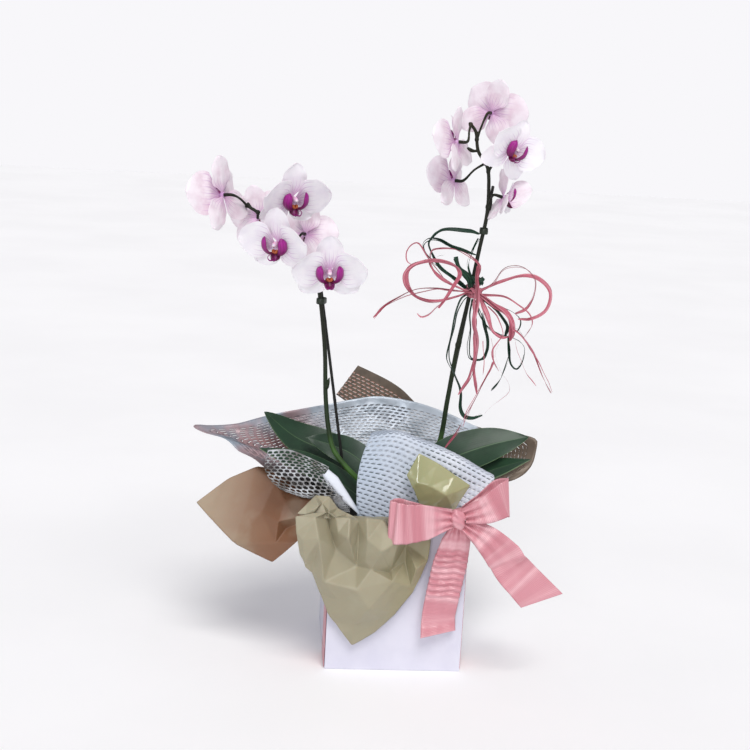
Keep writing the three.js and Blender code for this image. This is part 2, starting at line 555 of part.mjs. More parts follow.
function raffia(which) {
  const { height, knot, strands } = RAFFIA[which];
  const stake = onLine(...STAKE(STAKES.right), height);
  const wrap = new THREE.TorusGeometry(7.2, 2.4, 6, 10).scale(1, 1.15, 1.3)
    .translate(stake.x - 1, stake.y - 2.5, height);
  const heart = v3(...knot);
  const ball = new THREE.SphereGeometry(1, 8, 5).scale(9, 7, 7).translate(...knot);
  const parts = [wrap, ball];
  for (const strand of strands) {
    const p = pts(strand);
    // an end near the knot is drawn into it
    for (const end of [p[0], p[p.length - 1]]) {
      if (end.distanceTo(heart) < 24) end.sub(heart).clampLength(0, 4).add(heart);
    }
    parts.push(bar(p, 1.1, 1.1, 2 * p.length, 4));
  }
  return fuse(parts);
}

// ---------------------------------------------------------------- assembly
const orchid = new THREE.Group();
orchid.name = 'potted_orchid';

function add(name, geometry, slot) {
  const mesh = new THREE.Mesh(geometry, material(slot));
  mesh.name = name;
  orchid.add(mesh);
}

add('gift_box', giftBox(), 'board');
add('grow_pot', growPot(), 'dark_plastic');
add('bark_mix', barkMix(), 'bark');
add('crown', crown(), 'crown');
for (const [name, shape] of Object.entries(LEAVES)) add(name, leaf(shape), 'leaf');
for (const which of ['left', 'right']) {
  add(`flower_spike_${which}`, spike(which), 'stem');
  add(`stake_${which}`, bar(STAKE(STAKES[which]), STEM.stake, STEM.stake, 1, 8), 'stake');
}
add('stem_clip_left', clip(v3(-85.4, -0.4, 358), onLine(...STAKE(STAKES.left), 358), 6), 'clip');
add('stem_clip_right', clip(v3(72.2, 1.6, 434), onLine(...STAKE(STAKES.right), 434), 6), 'clip');
for (const [name, f] of Object.entries(FLOWERS)) {
  add(`flower_${name}_tepals`, tepals(f), 'petal');
  add(`flower_${name}_lip`, lip(f), 'lip');
}
add('tissue_front', sheet(net(TISSUE_FRONT), 10, 8, SHEET.tissue), 'tissue');
add('tissue_left', sheet(net(TISSUE_LEFT), 8, 6, SHEET.tissue), 'tissue');
add('tissue_upright', sheet(net(TISSUE_UPRIGHT), 7, 5, SHEET.tissue), 'tissue');
add('honeycomb_back', sheet(net(HONEYCOMB_BACK), 24, 4, SHEET.honeycomb), 'honeycomb');
add('honeycomb_flap', sheet(net(HONEYCOMB_FLAP), 6, 6, SHEET.honeycomb), 'honeycomb');
add('honeycomb_curl', sheet(net(HONEYCOMB_CURL), 8, 4, SHEET.honeycomb), 'honeycomb');
add('ribbon_knot', bowKnot(), 'ribbon');
for (const which of ['loop_left', 'loop_right', 'tail_front', 'tail_right']) add(`ribbon_${which}`, bow(which), 'ribbon');
add('ribbon_band_left', sideBand(-1), 'ribbon');
add('ribbon_band_right', sideBand(1), 'ribbon');
add('raffia_pink', raffia('pink'), 'raffia_pink');
add('raffia_green', raffia('green'), 'raffia_green');

export default orchid;
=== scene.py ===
"""Looks of a potted moth orchid in a gift box: every piece is built round the frame, in its own place.

Lists of points are in millimetres in the frame's axes: +Z up, the front faces -Y, the origin is the centre
of the box's underside. They are turned to metres where a mesh is made.
"""

import math

import bpy
import numpy as np
from mathutils import Matrix, Vector
from mathutils.geometry import delaunay_2d_cdt


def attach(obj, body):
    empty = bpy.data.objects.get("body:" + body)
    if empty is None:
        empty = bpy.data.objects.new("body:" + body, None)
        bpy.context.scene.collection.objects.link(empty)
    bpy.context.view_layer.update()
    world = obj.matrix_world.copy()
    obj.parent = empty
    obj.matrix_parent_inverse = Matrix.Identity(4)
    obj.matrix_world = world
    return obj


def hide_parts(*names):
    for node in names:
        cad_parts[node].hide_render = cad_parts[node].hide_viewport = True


bl_info = {
    "name": "Potted orchid",
    "version": (1, 0, 0),
    "blender": (4, 5, 0),
    "location": "View3D > Sidebar > Orchid",
    "description": "Builds a potted moth orchid in a gift box with papers, a ribbon bow and a raffia bow",
    "category": "Object",
}

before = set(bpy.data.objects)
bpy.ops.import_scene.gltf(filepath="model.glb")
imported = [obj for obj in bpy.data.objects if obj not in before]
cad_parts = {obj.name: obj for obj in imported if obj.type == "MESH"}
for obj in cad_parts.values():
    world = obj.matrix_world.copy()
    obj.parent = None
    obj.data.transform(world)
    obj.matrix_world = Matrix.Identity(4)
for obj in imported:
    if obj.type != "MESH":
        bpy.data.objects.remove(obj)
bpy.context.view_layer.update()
BODY = "root"
MM = 0.001

# Socket numbers of the Mix node when it mixes colours.
FACTOR, A, B, MIXED = 0, 6, 7, 2
MATH, SCALED = "ShaderNodeMath", "ShaderNodeVectorMath"
SPLIT, JOIN = "ShaderNodeSeparateXYZ", "ShaderNodeCombineXYZ"
NOISE, CELLS, MARK = "ShaderNodeTexNoise", "ShaderNodeTexVoronoi", "ShaderNodeAttribute"
POSITION, NORMAL, MOVE = (f"GeometryNode{name}" for name in ("InputPosition", "InputNormal", "SetPosition"))
STORE, NAMED = (f"GeometryNode{name}" for name in ("StoreNamedAttribute", "InputNamedAttribute"))
GRID, DELETE, MERGE = (f"GeometryNode{name}" for name in ("MeshGrid", "DeleteGeometry", "MergeByDistance"))
OBJECT, INSTANCES = "GeometryNodeObjectInfo", "GeometryNodeInstanceOnPoints"
COMPARE, RANDOM = "FunctionNodeCompare", "FunctionNodeRandomValue"
PER_POINT = {"data_type": "FLOAT", "domain": "POINT"}


# ---------------------------------------------------------------- colours and nodes
def linear(code):
    """An sRGB hex colour as linear red, green, blue and alpha."""
    channels = [int(code[i : i + 2], 16) / 255 for i in (1, 3, 5)]
    return [c / 12.92 if c <= 0.04045 else ((c + 0.055) / 1.055) ** 2.4 for c in channels] + [1.0]


def add(tree, kind, inputs=(), out=0, stops=None, **settings):
    """Adds a node and gives its output `out` (None: the node itself). `kind` is its type, or in capitals
    the operation of a Math node. Inputs are values or sockets to link, by name in a dict or by place in a
    list; settings are the node's own properties."""
    if kind.isupper():
        kind, settings = MATH, {"operation": kind}
    node = tree.nodes.new(kind)
    for key, value in settings.items():
        setattr(node, key, value)
    for key, value in inputs.items() if isinstance(inputs, dict) else enumerate(inputs):
        if isinstance(value, bpy.types.NodeSocket):
            tree.links.new(value, node.inputs[key])
        else:
            node.inputs[key].default_value = value
    for k, (spot, tint) in enumerate(stops or ()):
        element = node.color_ramp.elements[k] if k < 2 else node.color_ramp.elements.new(1.0)
        element.position, element.color = spot, linear(tint) if isinstance(tint, str) else tint
    return node if out is None else node.outputs[out]


def material_tree(name, *clouds):
    """A new material, its empty tree, the coordinates of the piece it is on, and a noise on them for each
    pair in `clouds`: its size in millimetres and its detail."""
    material = bpy.data.materials.new(name)
    material.use_nodes = True
    tree = material.node_tree
    tree.nodes.clear()
    spot = add(tree, "ShaderNodeTexCoord", out="Object")
    noises = [
        add(tree, NOISE, {"Vector": spot, "Scale": pitch(size), "Detail": detail}) for size,
        detail in clouds
    ]
    return material, tree, spot, *noises


def layered(tree, tone, *layers):
    """A colour with others laid over it. Each layer: a field, the two values of it between which the colour
    comes in, its share at each of them (where only one is given, it starts from none), and the colour."""
    for field, start, end, *shares, tint in layers:
        low, high = [0, *shares][-2:]
        share = add(tree, "ShaderNodeMapRange", {
            "Value": field, "From Min": start, "From Max": end, "To Min": low, "To Max": high,
        }, interpolation_type="SMOOTHSTEP")
        pair = [linear(c) if isinstance(c, str) else c for c in (tone, tint)]
        tone = add(tree, "ShaderNodeMix", {FACTOR: share, A: pair[0], B: pair[1]}, MIXED, data_type="RGBA")
    return tone


def finish(material, tree, tone, height, strength, depth, **shader):
    """Ends a material in the Principled shader with a bump as deep as `depth` millimetres; in a name,
    underscores stand for the socket's spaces."""
    bump = add(tree, "ShaderNodeBump", {"Height": height, "Strength": strength, "Distance": depth * MM})
    named = {key.replace("_", " "): value for key, value in shader.items()}
    skin = add(tree, "ShaderNodeBsdfPrincipled", {"Base Color": tone, "Normal": bump, **named})
    add(tree, "ShaderNodeOutputMaterial", [skin], None)
    return material


def grainy(name, base, tint, patch, grain, strength, depth, **shader):
    """A material of one colour clouded with another, with a fine grain; patch, grain and depth in mm."""
    material, tree, _, cloud, grains = material_tree(name, (patch, 4), (grain, 4))
    tone = layered(tree, base, (cloud, 0.3, 0.7, 1.0, tint))
    return finish(material, tree, tone, grains, strength, depth, **shader)


def pitch(mm):
    """A texture's scale on Object coordinates for a pattern of this size in millimetres."""
    return 1 / (mm * MM)


# ---------------------------------------------------------------- sizes and colours a user would change
def length(name, default, description):
    """A size property, in metres, from a default in millimetres."""
    return bpy.props.FloatProperty(
        name=name, description=description, default=default * MM, min=0.0, precision=5,
        subtype="DISTANCE", unit="LENGTH",
    )


def colour(name, default, description):
    """A colour property from an sRGB hex default."""
    return bpy.props.FloatVectorProperty(
        name=name, description=description, default=linear(default), size=4, min=0.0, max=1.0,
        subtype="COLOR",
    )


class OrchidSizes(bpy.types.PropertyGroup):
    """Sizes that don't change the object's outer dimensions."""

    board_bevel: length("Board edge", 0.5, "Rounding of the paperboard's folded and cut edges")
    petal_thickness: length("Petal thickness", 0.8, "Thickness of a petal at its middle")
    leaf_thickness: length("Leaf thickness", 2.2, "Thickness of a leaf at its midrib")
    paper_thickness: length("Paper thickness", 0.35, "Thickness of the floral and die-cut papers")
    slit_length: length("Slit pitch", 5.8, "Spacing of the die-cut slits along their rows")
    slit_rows: length("Row pitch", 3.5, "Spacing of the rows of slits")
    slit_relief: length("Slit relief", 0.7, "How far the lips of the widest slits stand out of the paper")
    ribbon_thickness: length("Ribbon thickness", 0.5, "Thickness of the gift ribbon")
    rib_pitch: length("Rib pitch", 1.5, "Spacing of the ribbon's cross ribs")
    rib_height: length("Rib height", 0.16, "Height of the ribbon's cross ribs")
    raffia_thickness: length("Raffia thickness", 0.3, "Thickness of a flat raffia strand")
    chip_length: length("Bark chip", 9.0, "Length of a typical bark chip")


class OrchidColours(bpy.types.PropertyGroup):
    """Base colours of the pieces."""

    board: colour("Paperboard", "#CDCCDA", "Coated face of the gift box")
    pot: colour("Grow pot", "#23221F", "Grow pot")
    bark: colour("Bark", "#4A3426", "Bark chips")
    root: colour("Roots", "#7C8A62", "Aerial roots and the crown's sheaths")
    leaf: colour("Leaf", "#1E3C27", "Upper face of a leaf")
    leaf_under: colour("Leaf underside", "#61734E", "Lower face of a leaf")
    stalk: colour("Young stalk", "#4B7034", "Flower stalk near the crown")
    stalk_ripe: colour("Ripe stalk", "#1B1E14", "Flower stalk higher up")
    stake: colour("Stake", "#121314", "Dyed stake")
    clip: colour("Stem clip", "#1A2816", "Stem clip")
    petal: colour("Petal", "#F8F4F8", "Front of a petal")
    petal_back: colour("Petal back", "#F2E6ED", "Back of a petal")
    petal_vein: colour("Petal vein", "#A44FAE", "Veins and blush near the lip")
    lip: colour("Lip", "#8E0E78", "Side lobes of the lip")
    lip_dark: colour("Lip base", "#4C0A2C", "Lower edges of the lip")
    callus: colour("Callus", "#BD5F2C", "Callus between the side lobes")
    column: colour("Column", "#DDB0CC", "Column above the lip")
    olive: colour("Olive paper", "#9A937B", "Floral paper at the front")
    tan: colour("Tan paper", "#7B553C", "Floral paper in shade at the left")
    silver: colour("Die-cut paper", "#949FAB", "Silvery die-cut paper")
    # the tan colour is painted shade: the darker end of the left drape, near the box
    kraft: colour("Kraft side", "#64574A", "Dark side of the die-cut paper")
    # the blush is painted pink light, laid in patches on the die-cut paper
    blush: colour("Paper blush", "#B07F7B", "Pink cast in the die-cut paper's folds")
    ribbon: colour("Ribbon", "#D3929B", "Gift ribbon")
    raffia_pink: colour("Pink raffia", "#B45F6F", "Dyed raffia of the upper bow")
    raffia_green: colour("Green raffia", "#0F2C1F", "Dyed raffia of the second bow")
    floor: colour("Floor", "#FFFFFF", "Paper sweep under the object")


def sizes():
    return bpy.context.scene.orchid_sizes


def colours():
    return bpy.context.scene.orchid_colours


# ---------------------------------------------------------------- lines and surfaces
def spline(points):
    """A smooth line through the points (centripetal Catmull-Rom), as a function of 0 to 1."""
    p = np.asarray(points, float)
    ends = np.vstack([2 * p[0] - p[1], p, 2 * p[-1] - p[-2]])
    gaps = np.maximum(np.linalg.norm(np.diff(ends, axis=0), axis=1) ** 0.5, 1e-4)[:, None]

    def at(u):
        f = np.clip(np.atleast_1d(np.asarray(u, float)), 0, 1) * (len(p) - 1)
        i = np.minimum(f.astype(int), len(p) - 2)
        w = (f - i)[:, None]
        before, start, end, after = (ends[i + k] for k in range(4))
        d0, d1, d2 = (gaps[i + k] for k in range(3))
        t1 = ((start - before) / d0 - (end - before) / (d0 + d1) + (end - start) / d1) * d1
        t2 = ((end - start) / d1 - (after - start) / (d1 + d2) + (after - end) / d2) * d1
        step = end - start
        return start + t1 * w + (3 * step - 2 * t1 - t2) * w**2 + (t1 + t2 - 2 * step) * w**3

    return at


def even_places(line, count, dense=400):
    """Places 0 to 1 on a line that split its length evenly."""
    u = np.linspace(0, 1, dense)
    run = np.concatenate([[0], np.cumsum(np.linalg.norm(np.diff(line(u), axis=0), axis=1))])
    return np.interp(np.linspace(0, run[-1], count), run, u), run[-1]


def even_line(points, count):
    """Evenly spaced points on the smooth line through the given ones, and the line's length."""
    line = spline(points)
    places, total = even_places(line, count)
    return line(places), total


def between(values, u):
    """A list of values read off at places 0 to 1, in straight steps."""
    values = np.asarray(values, float)
    flat = values.reshape(len(values), -1)
    marks = np.linspace(0, 1, len(values))
    read = np.stack([np.interp(u, marks, flat[:, k]) for k in range(flat.shape[1])], axis=-1)
    return read[:, 0] if values.ndim == 1 else read


def net(rows, nu, nv, level=0.7):
    """A grid of (nu + 1) x (nv + 1) points on the smooth surface through rows of points, evenly spaced
    along the rows' direction u at the height `level`. Also gives its length along u and along v."""
    lines = np.stack([spline(row)(np.linspace(0, 1, nv + 1)) for row in rows])
    middle = spline(lines[:, int(level * nv)])
    places, wide = even_places(middle, nu + 1)
    grid = np.stack([spline(lines[:, j])(places) for j in range(nv + 1)], axis=1)
    tall = np.linalg.norm(np.diff(grid, axis=1), axis=2).sum(axis=1).mean()
    return grid, wide, tall


def unit(v):
    return v / np.maximum(np.linalg.norm(v, axis=-1, keepdims=True), 1e-12)


def grid_normals(grid):
    return unit(np.cross(np.gradient(grid, axis=0), np.gradient(grid, axis=1)))


def crumple(a, b, seed):
    """Heights -1 to 1 of a crumpled sheet: flat triangles that meet in creases one unit apart."""
    table = np.random.default_rng(seed).uniform(-1, 1, (32, 32))
    a2 = a + 0.42 * np.sin(1.9 * b + seed)
    b2 = b + 0.42 * np.sin(2.3 * a + 2 * seed)
    i, j = np.floor(a2).astype(int), np.floor(b2).astype(int)
    f, g = a2 - i, b2 - j
    h00, h10 = table[i % 32, j % 32], table[(i + 1) % 32, j % 32]
    h01, h11 = table[i % 32, (j + 1) % 32], table[(i + 1) % 32, (j + 1) % 32]
    low = h00 + f * (h10 - h00) + g * (h11 - h10)
    high = h00 + g * (h01 - h00) + f * (h11 - h01)
    return np.where(f > g, low, high)


# ---------------------------------------------------------------- meshes
def lofted(rings, loop=False):
    """Vertices and faces over rings of points: the ends get a fan each, or join up when it is a loop."""
    rings = np.asarray(rings, float)
    count, n = rings.shape[:2]
    faces = [
        (r * n + k, r * n + (k + 1) % n, (r + 1) % count * n + (k + 1) % n, (r + 1) % count * n + k)
        for r in range(count if loop else count - 1)
        for k in range(n)
    ]
    verts = rings.reshape(-1, 3)
    if not loop:
        last = (count - 1) * n
        middle = len(verts)
        verts = np.vstack([verts, rings[0].mean(0), rings[-1].mean(0)])
        faces += [(middle, (k + 1) % n, k) for k in range(n)]
        faces += [(middle + 1, last + k, last + (k + 1) % n) for k in range(n)]
    return outward(verts, faces)


def outward(verts, faces):
    """The same closed mesh with its faces turned out, by the sign of its volume."""
    volume = 0.0
    for f in faces:
        for k in range(1, len(f) - 1):
            volume += np.dot(verts[f[0]], np.cross(verts[f[k]], verts[f[k + 1]]))
    return verts, faces if volume > 0 else [tuple(reversed(f)) for f in faces]


def shell(top, bottom):
    """A closed skin between two grids of points, joined round their edge."""
    nu, nv = top.shape[:2]
    verts = np.concatenate([top.reshape(-1, 3), bottom.reshape(-1, 3)])
    under = nu * nv
    faces = []
    for i in range(nu - 1):
        for j in range(nv - 1):
            a, b, c, d = i * nv + j, (i + 1) * nv + j, (i + 1) * nv + j + 1, i * nv + j + 1
            faces += [(a, b, c, d), (under + d, under + c, under + b, under + a)]
    rim = [i * nv for i in range(nu)] + [(nu - 1) * nv + j for j in range(1, nv)]
    rim += [i * nv + nv - 1 for i in range(nu - 2, -1, -1)] + [j for j in range(nv - 2, 0, -1)]
    for a, b in zip(rim, rim[1:] + rim[:1]):
        faces.append((b, a, under + a, under + b))
    return outward(verts, faces)


def rod(points, radius, steps, sides=12, end=None):
    """A closed round bar along a smooth line; radius is one value or a list along the line."""
    centre, _ = even_line(points, steps + 1)
    along = unit(np.gradient(centre, axis=0))
    u = np.linspace(0, 1, steps + 1)
    radii = between(np.atleast_1d(radius), u)
    side = unit(np.cross(along[0], (0.3, 0.2, 0.9) if abs(along[0][2]) < 0.8 else (1.0, 0.2, 0.0)))
    rings = []
    angles = np.linspace(0, 2 * math.pi, sides, endpoint=False)
    for c, t, r in zip(centre, along, radii):
        side = unit(side - np.dot(side, t) * t)
        up = np.cross(t, side)
        rings.append(c + r * (np.cos(angles)[:, None] * side + np.sin(angles)[:, None] * up))
    if end is not None:
        # a round end: rings that close in over one radius
        for share in (0.5, 0.8, 0.97):
            t, r = along[-1], radii[-1]
            shrink = math.sqrt(1 - share**2)
            ring = (rings[steps] - centre[-1]) * shrink + centre[-1] + t * r * end * share
            rings.append(ring)
    return lofted(rings)


def ball(centre, radii, turns=10, sides=14):
    """A closed ellipsoid."""
    rings = []
    angle = np.linspace(0, 2 * math.pi, sides, endpoint=False)
    for k in range(1, turns):
        a = math.pi * k / turns
        out = math.sin(a)
        ring = np.stack([np.cos(angle) * out, np.sin(angle) * out, 0 * angle + math.cos(a)], 1)
        rings.append(ring * radii + centre)
    return lofted(rings)


def strap(points, across, widths, steps, cells):
    """A grid on a flat strap along a smooth line: `across` gives the direction of its width along it."""
    line = spline(points)
    places, total = even_places(line, steps + 1)
    centre = line(places)
    along = unit(np.gradient(centre, axis=0))
    side = between(across, places)
    side = unit(side - np.sum(side * along, axis=1, keepdims=True) * along)
    half = between(widths, places) / 2
    t = np.linspace(-1, 1, cells + 1)
    return centre[:, None] + (half[:, None] * t)[..., None] * side[:, None], total


def grid_mesh(grid):
    """Vertices and quads of an open grid."""
    nu, nv = grid.shape[:2]
    faces = [
        (i * nv + j, (i + 1) * nv + j, (i + 1) * nv + j + 1, i * nv + j + 1)
        for i in range(nu - 1)
        for j in range(nv - 1)
    ]
    return grid.reshape(-1, 3), faces


def mark_points(mesh, key, values):
    """Gives a mesh an attribute of one number per point."""
    mesh.attributes.new(key, "FLOAT", "POINT").data.foreach_set("value", np.asarray(values, np.float32))


def in_scene(name, data):
    """A new object in the scene with the given data."""
    thing = bpy.data.objects.new(name, data)
    bpy.context.scene.collection.objects.link(thing)
    return thing


def mesh_object(name, parts, materials):
    """One object from parts: vertices in mm, faces and, where they are given, a material number and
    {attribute: values per vertex}."""
    verts = np.concatenate([np.asarray(p[0], float) for p in parts]) * MM
    faces, numbers, start = [], [], 0
    fields = sorted({key for p in parts if len(p) > 3 for key in p[3]})
    values = {key: np.zeros(len(verts)) for key in fields}
    for part in parts:
        faces += [tuple(start + k for k in f) for f in part[1]]
        numbers += [part[2] if len(part) > 2 else 0] * len(part[1])
        for key, field in (part[3] if len(part) > 3 else {}).items():
            values[key][start : start + len(part[0])] = np.asarray(field).ravel()
        start += len(part[0])
    mesh = bpy.data.meshes.new(name)
    mesh.from_pydata(verts.tolist(), [], faces)
    mesh.polygons.foreach_set("material_index", numbers)
    mesh.polygons.foreach_set("use_smooth", [True] * len(faces))
    for key, field in values.items():
        mark_points(mesh, key, field)
    for material in materials:
        mesh.materials.append(material)
    mesh.update()
    return in_scene(name, mesh)


def set_uv(thing, uv):
    """Gives a mesh a UV map from one (u, v) pair per vertex."""
    layer = thing.data.uv_layers.new(name="UVMap")
    corner = np.zeros(len(thing.data.loops), int)
    thing.data.loops.foreach_get("vertex_index", corner)
    layer.data.foreach_set("uv", np.asarray(uv, np.float32)[corner].ravel())


def modify(thing, kind, **settings):
    modifier = thing.modifiers.new(kind.title(), kind)
    for key, value in settings.items():
        setattr(modifier, key, value)
    return modifier


def settle(thing):
    """Turns the result of an object's modifiers into its own plain mesh."""
    bpy.context.view_layer.update()
    depsgraph = bpy.context.evaluated_depsgraph_get()
    mesh = bpy.data.meshes.new_from_object(
        thing.evaluated_get(depsgraph), preserve_all_data_layers=True, depsgraph=depsgraph
    )
    if len(mesh.polygons) == 0:
        raise RuntimeError(f"{thing.name} came out empty")
    if thing.type == "MESH":
        thing.modifiers.clear()
        thing.data = mesh
        return thing
    name = thing.name
    bpy.data.objects.remove(thing)
    return in_scene(name, mesh)


def place(thing, slot, *nodes):
    """Rides a finished piece on the frame and hides the CAD nodes it stands for; `slot` is not used."""
    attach(thing, BODY)
    if nodes:
        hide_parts(*nodes)
    return thing


# ---------------------------------------------------------------- geometry node trees
def geometry_tree(name, **sockets):
    """An empty geometry tree with named inputs; gives the tree and its input node's outputs by name."""
    tree = bpy.data.node_groups.new(name, "GeometryNodeTree")
    for label, kind in {"Geometry": "Geometry", **sockets, "Material": "Material"}.items():
        tree.interface.new_socket(label.replace("_", " "), in_out="INPUT", socket_type=f"NodeSocket{kind}")
    tree.interface.new_socket("Geometry", in_out="OUTPUT", socket_type="NodeSocketGeometry")
    return tree, add(tree, "NodeGroupInput", out=None).outputs


def end_tree(tree, given, *meshes):
    """Ends a tree: its meshes are joined, made real and given the material."""
    joined = add(tree, "GeometryNodeJoinGeometry", out=None)
    for mesh in meshes:
        tree.links.new(mesh, joined.inputs[0])
    whole = add(tree, "GeometryNodeRealizeInstances", [joined.outputs[0]])
    whole = add(tree, "GeometryNodeSetMaterial", {"Geometry": whole, "Material": given["Material"]})
    add(tree, "NodeGroupOutput", [whole], None)
    return tree


def run_tree(thing, tree, material, **values):
    """Puts a tree on an object with its inputs set by their identifiers; underscores stand for spaces."""
    modifier = modify(thing, "NODES", node_group=tree)
    names = {s.name: s.identifier for s in tree.interface.items_tree if s.in_out == "INPUT"}
    for key, value in {"Material": material, **values}.items():
        modifier[names[key.replace("_", " ")]] = value
    return modifier


def slit_tree():
    """Die-cut paper: a unit cell with a slit is set out in staggered rows and laid on a curved sheet."""
    tree, given = geometry_tree(
        "Die-cut paper", Cell="Object", Columns="Int", Rows="Int", Relief="Float", Border="Float",
    )
    share = add(tree, "SUBTRACT", [1.0, given["Border"]])
    wide = add(tree, "DIVIDE", [1.0, given["Columns"]])
    tall = add(tree, "DIVIDE", [share, given["Rows"]])
    many = add(tree, "ADD", [given["Columns"], 1.0])
    height = add(tree, "SUBTRACT", [share, tall])
    spots = {"Size X": 1.0, "Size Y": height, "Vertices X": many, "Vertices Y": given["Rows"]}
    spots = add(tree, GRID, spots)
    # every other row moves along by half a cell
    spot = add(tree, SPLIT, [add(tree, POSITION)], None).outputs
    up = add(tree, "MULTIPLY_ADD", [height, 0.5, spot["Y"]])
    row = add(tree, "ROUND", [add(tree, "DIVIDE", [up, tall])])
    odd = add(tree, "MODULO", [row, 2.0])
    shift = add(tree, "MULTIPLY", [wide, odd])
    shift = add(tree, "MULTIPLY_ADD", [shift, 0.5, 0.5])
    lift = add(tree, "MULTIPLY", [share, 0.5])
    spots = add(tree, MOVE, {"Geometry": spots, "Offset": add(tree, JOIN, [shift, lift])})
    cell = add(tree, OBJECT, {"Object": given["Cell"]}, "Geometry")
    size = add(tree, JOIN, [wide, tall, 1.0])
    cells = add(tree, INSTANCES, {"Points": spots, "Instance": cell, "Scale": size})
    cells = add(tree, "GeometryNodeRealizeInstances", [cells])
    # the solid border along the free edge
    edge = add(tree, "MULTIPLY_ADD", [given["Columns"], 2.0, 1.0])
    strip = add(tree, GRID, {"Size X": 1.0, "Size Y": given["Border"], "Vertices X": edge, "Vertices Y": 4})
    half = add(tree, "MULTIPLY_ADD", [given["Border"], 0.5, share])
    strip = add(tree, MOVE, {"Geometry": strip, "Offset": add(tree, JOIN, [0.5, half])})
    joined = add(tree, "GeometryNodeJoinGeometry", [cells], None)
    tree.links.new(strip, joined.inputs[0])
    # what stands past the sheet's ends is drawn back to them, so the cut runs through the last slits
    flat = add(tree, SPLIT, [add(tree, POSITION)], None).outputs
    near = 0.0005
    kept = [
        add(tree, "ShaderNodeClamp", {"Value": flat[key], "Min": near, "Max": 1 - near}) for key in "XY"
    ]
    place_in = add(tree, JOIN, kept)
    marked = joined.outputs[0]
    for key, value, kind in (("UVMap", place_in, "FLOAT2"), ("relief", flat["Z"], "FLOAT")):
        stored = {"Geometry": marked, "Name": key, "Value": value}
        marked = add(tree, STORE, stored, data_type=kind, domain="POINT")
    uv = add(tree, NAMED, {"Name": "UVMap"}, data_type="FLOAT_VECTOR")
    spot, normal = (
        add(tree, "GeometryNodeSampleUVSurface", {
            "Mesh": given["Geometry"], "Value": add(tree, kind), "UV Map": uv, "Sample UV": place_in,
        }, data_type="FLOAT_VECTOR")
        for kind in (POSITION, NORMAL)
    )
    out = add(tree, "MULTIPLY", [flat["Z"], given["Relief"]])
    out = add(tree, SCALED, {0: normal, "Scale": out}, operation="SCALE")
    spot = add(tree, SCALED, [spot, out], operation="ADD")
    laid = add(tree, MOVE, {"Geometry": marked, "Position": spot})
    # slivers left by the cut (in square metres) are dropped, and neighbouring cells become one sheet
    sliver, apart = 1e-8, 0.02 * MM
    area = add(tree, "GeometryNodeInputMeshFaceArea")
    small = add(tree, COMPARE, [area, sliver], operation="LESS_THAN")
    laid = add(tree, DELETE, {"Geometry": laid, "Selection": small}, domain="FACE")
    laid = add(tree, MERGE, {"Geometry": laid, "Distance": apart})
    return end_tree(tree, given, add(tree, "GeometryNodeSetShadeSmooth", {"Geometry": laid}))


def slit_cell(opening):
    """The unit cell of die-cut paper, one by one: a pointed slit whose lips stand to either side."""
    tip, shoulder, lip = 0.44, 0.22, opening / 2
    points = [
        (-0.5, -0.5, 0), (0, -0.5, 0), (0.5, -0.5, 0), (0.5, 0, 0), (0.5, 0.5, 0), (0, 0.5, 0),
        (-0.5, 0.5, 0),
        (-0.5, 0, 0), (-tip, 0, 0), (-shoulder, lip, 1), (shoulder, lip, 1), (tip, 0, 0),
        (shoulder, -lip, -1), (-shoulder, -lip, -1),
    ]
    faces = [
        (0, 1, 13, 8), (1, 12, 13), (1, 2, 11, 12), (2, 3, 11), (3, 4, 11), (4, 5, 10, 11), (5, 9, 10),
        (5, 6, 8, 9), (6, 7, 8), (7, 0, 8),
    ]
    mesh = bpy.data.meshes.new("slit_cell")
    mesh.from_pydata(points, [], faces)
    return bpy.data.objects.new("slit_cell", mesh)


def rib_tree():
    """Grosgrain ribs: points move along the normal in waves over the ribbon's length (UV u, in metres)."""
    tree, given = geometry_tree("Grosgrain ribs", Pitch="Float", Height="Float")
    run = add(tree, SPLIT, [add(tree, NAMED, {"Name": "UVMap"}, data_type="FLOAT_VECTOR")])
    turns = add(tree, "DIVIDE", [run, given["Pitch"]])
    wave = add(tree, "SINE", [add(tree, "MULTIPLY", [turns, 2 * math.pi])])
    rise = add(tree, "MULTIPLY", [wave, given["Height"]])
    move = add(tree, SCALED, {0: add(tree, NORMAL), "Scale": rise}, operation="SCALE")
    return end_tree(tree, given, add(tree, MOVE, {"Geometry": given["Geometry"], "Offset": move}))


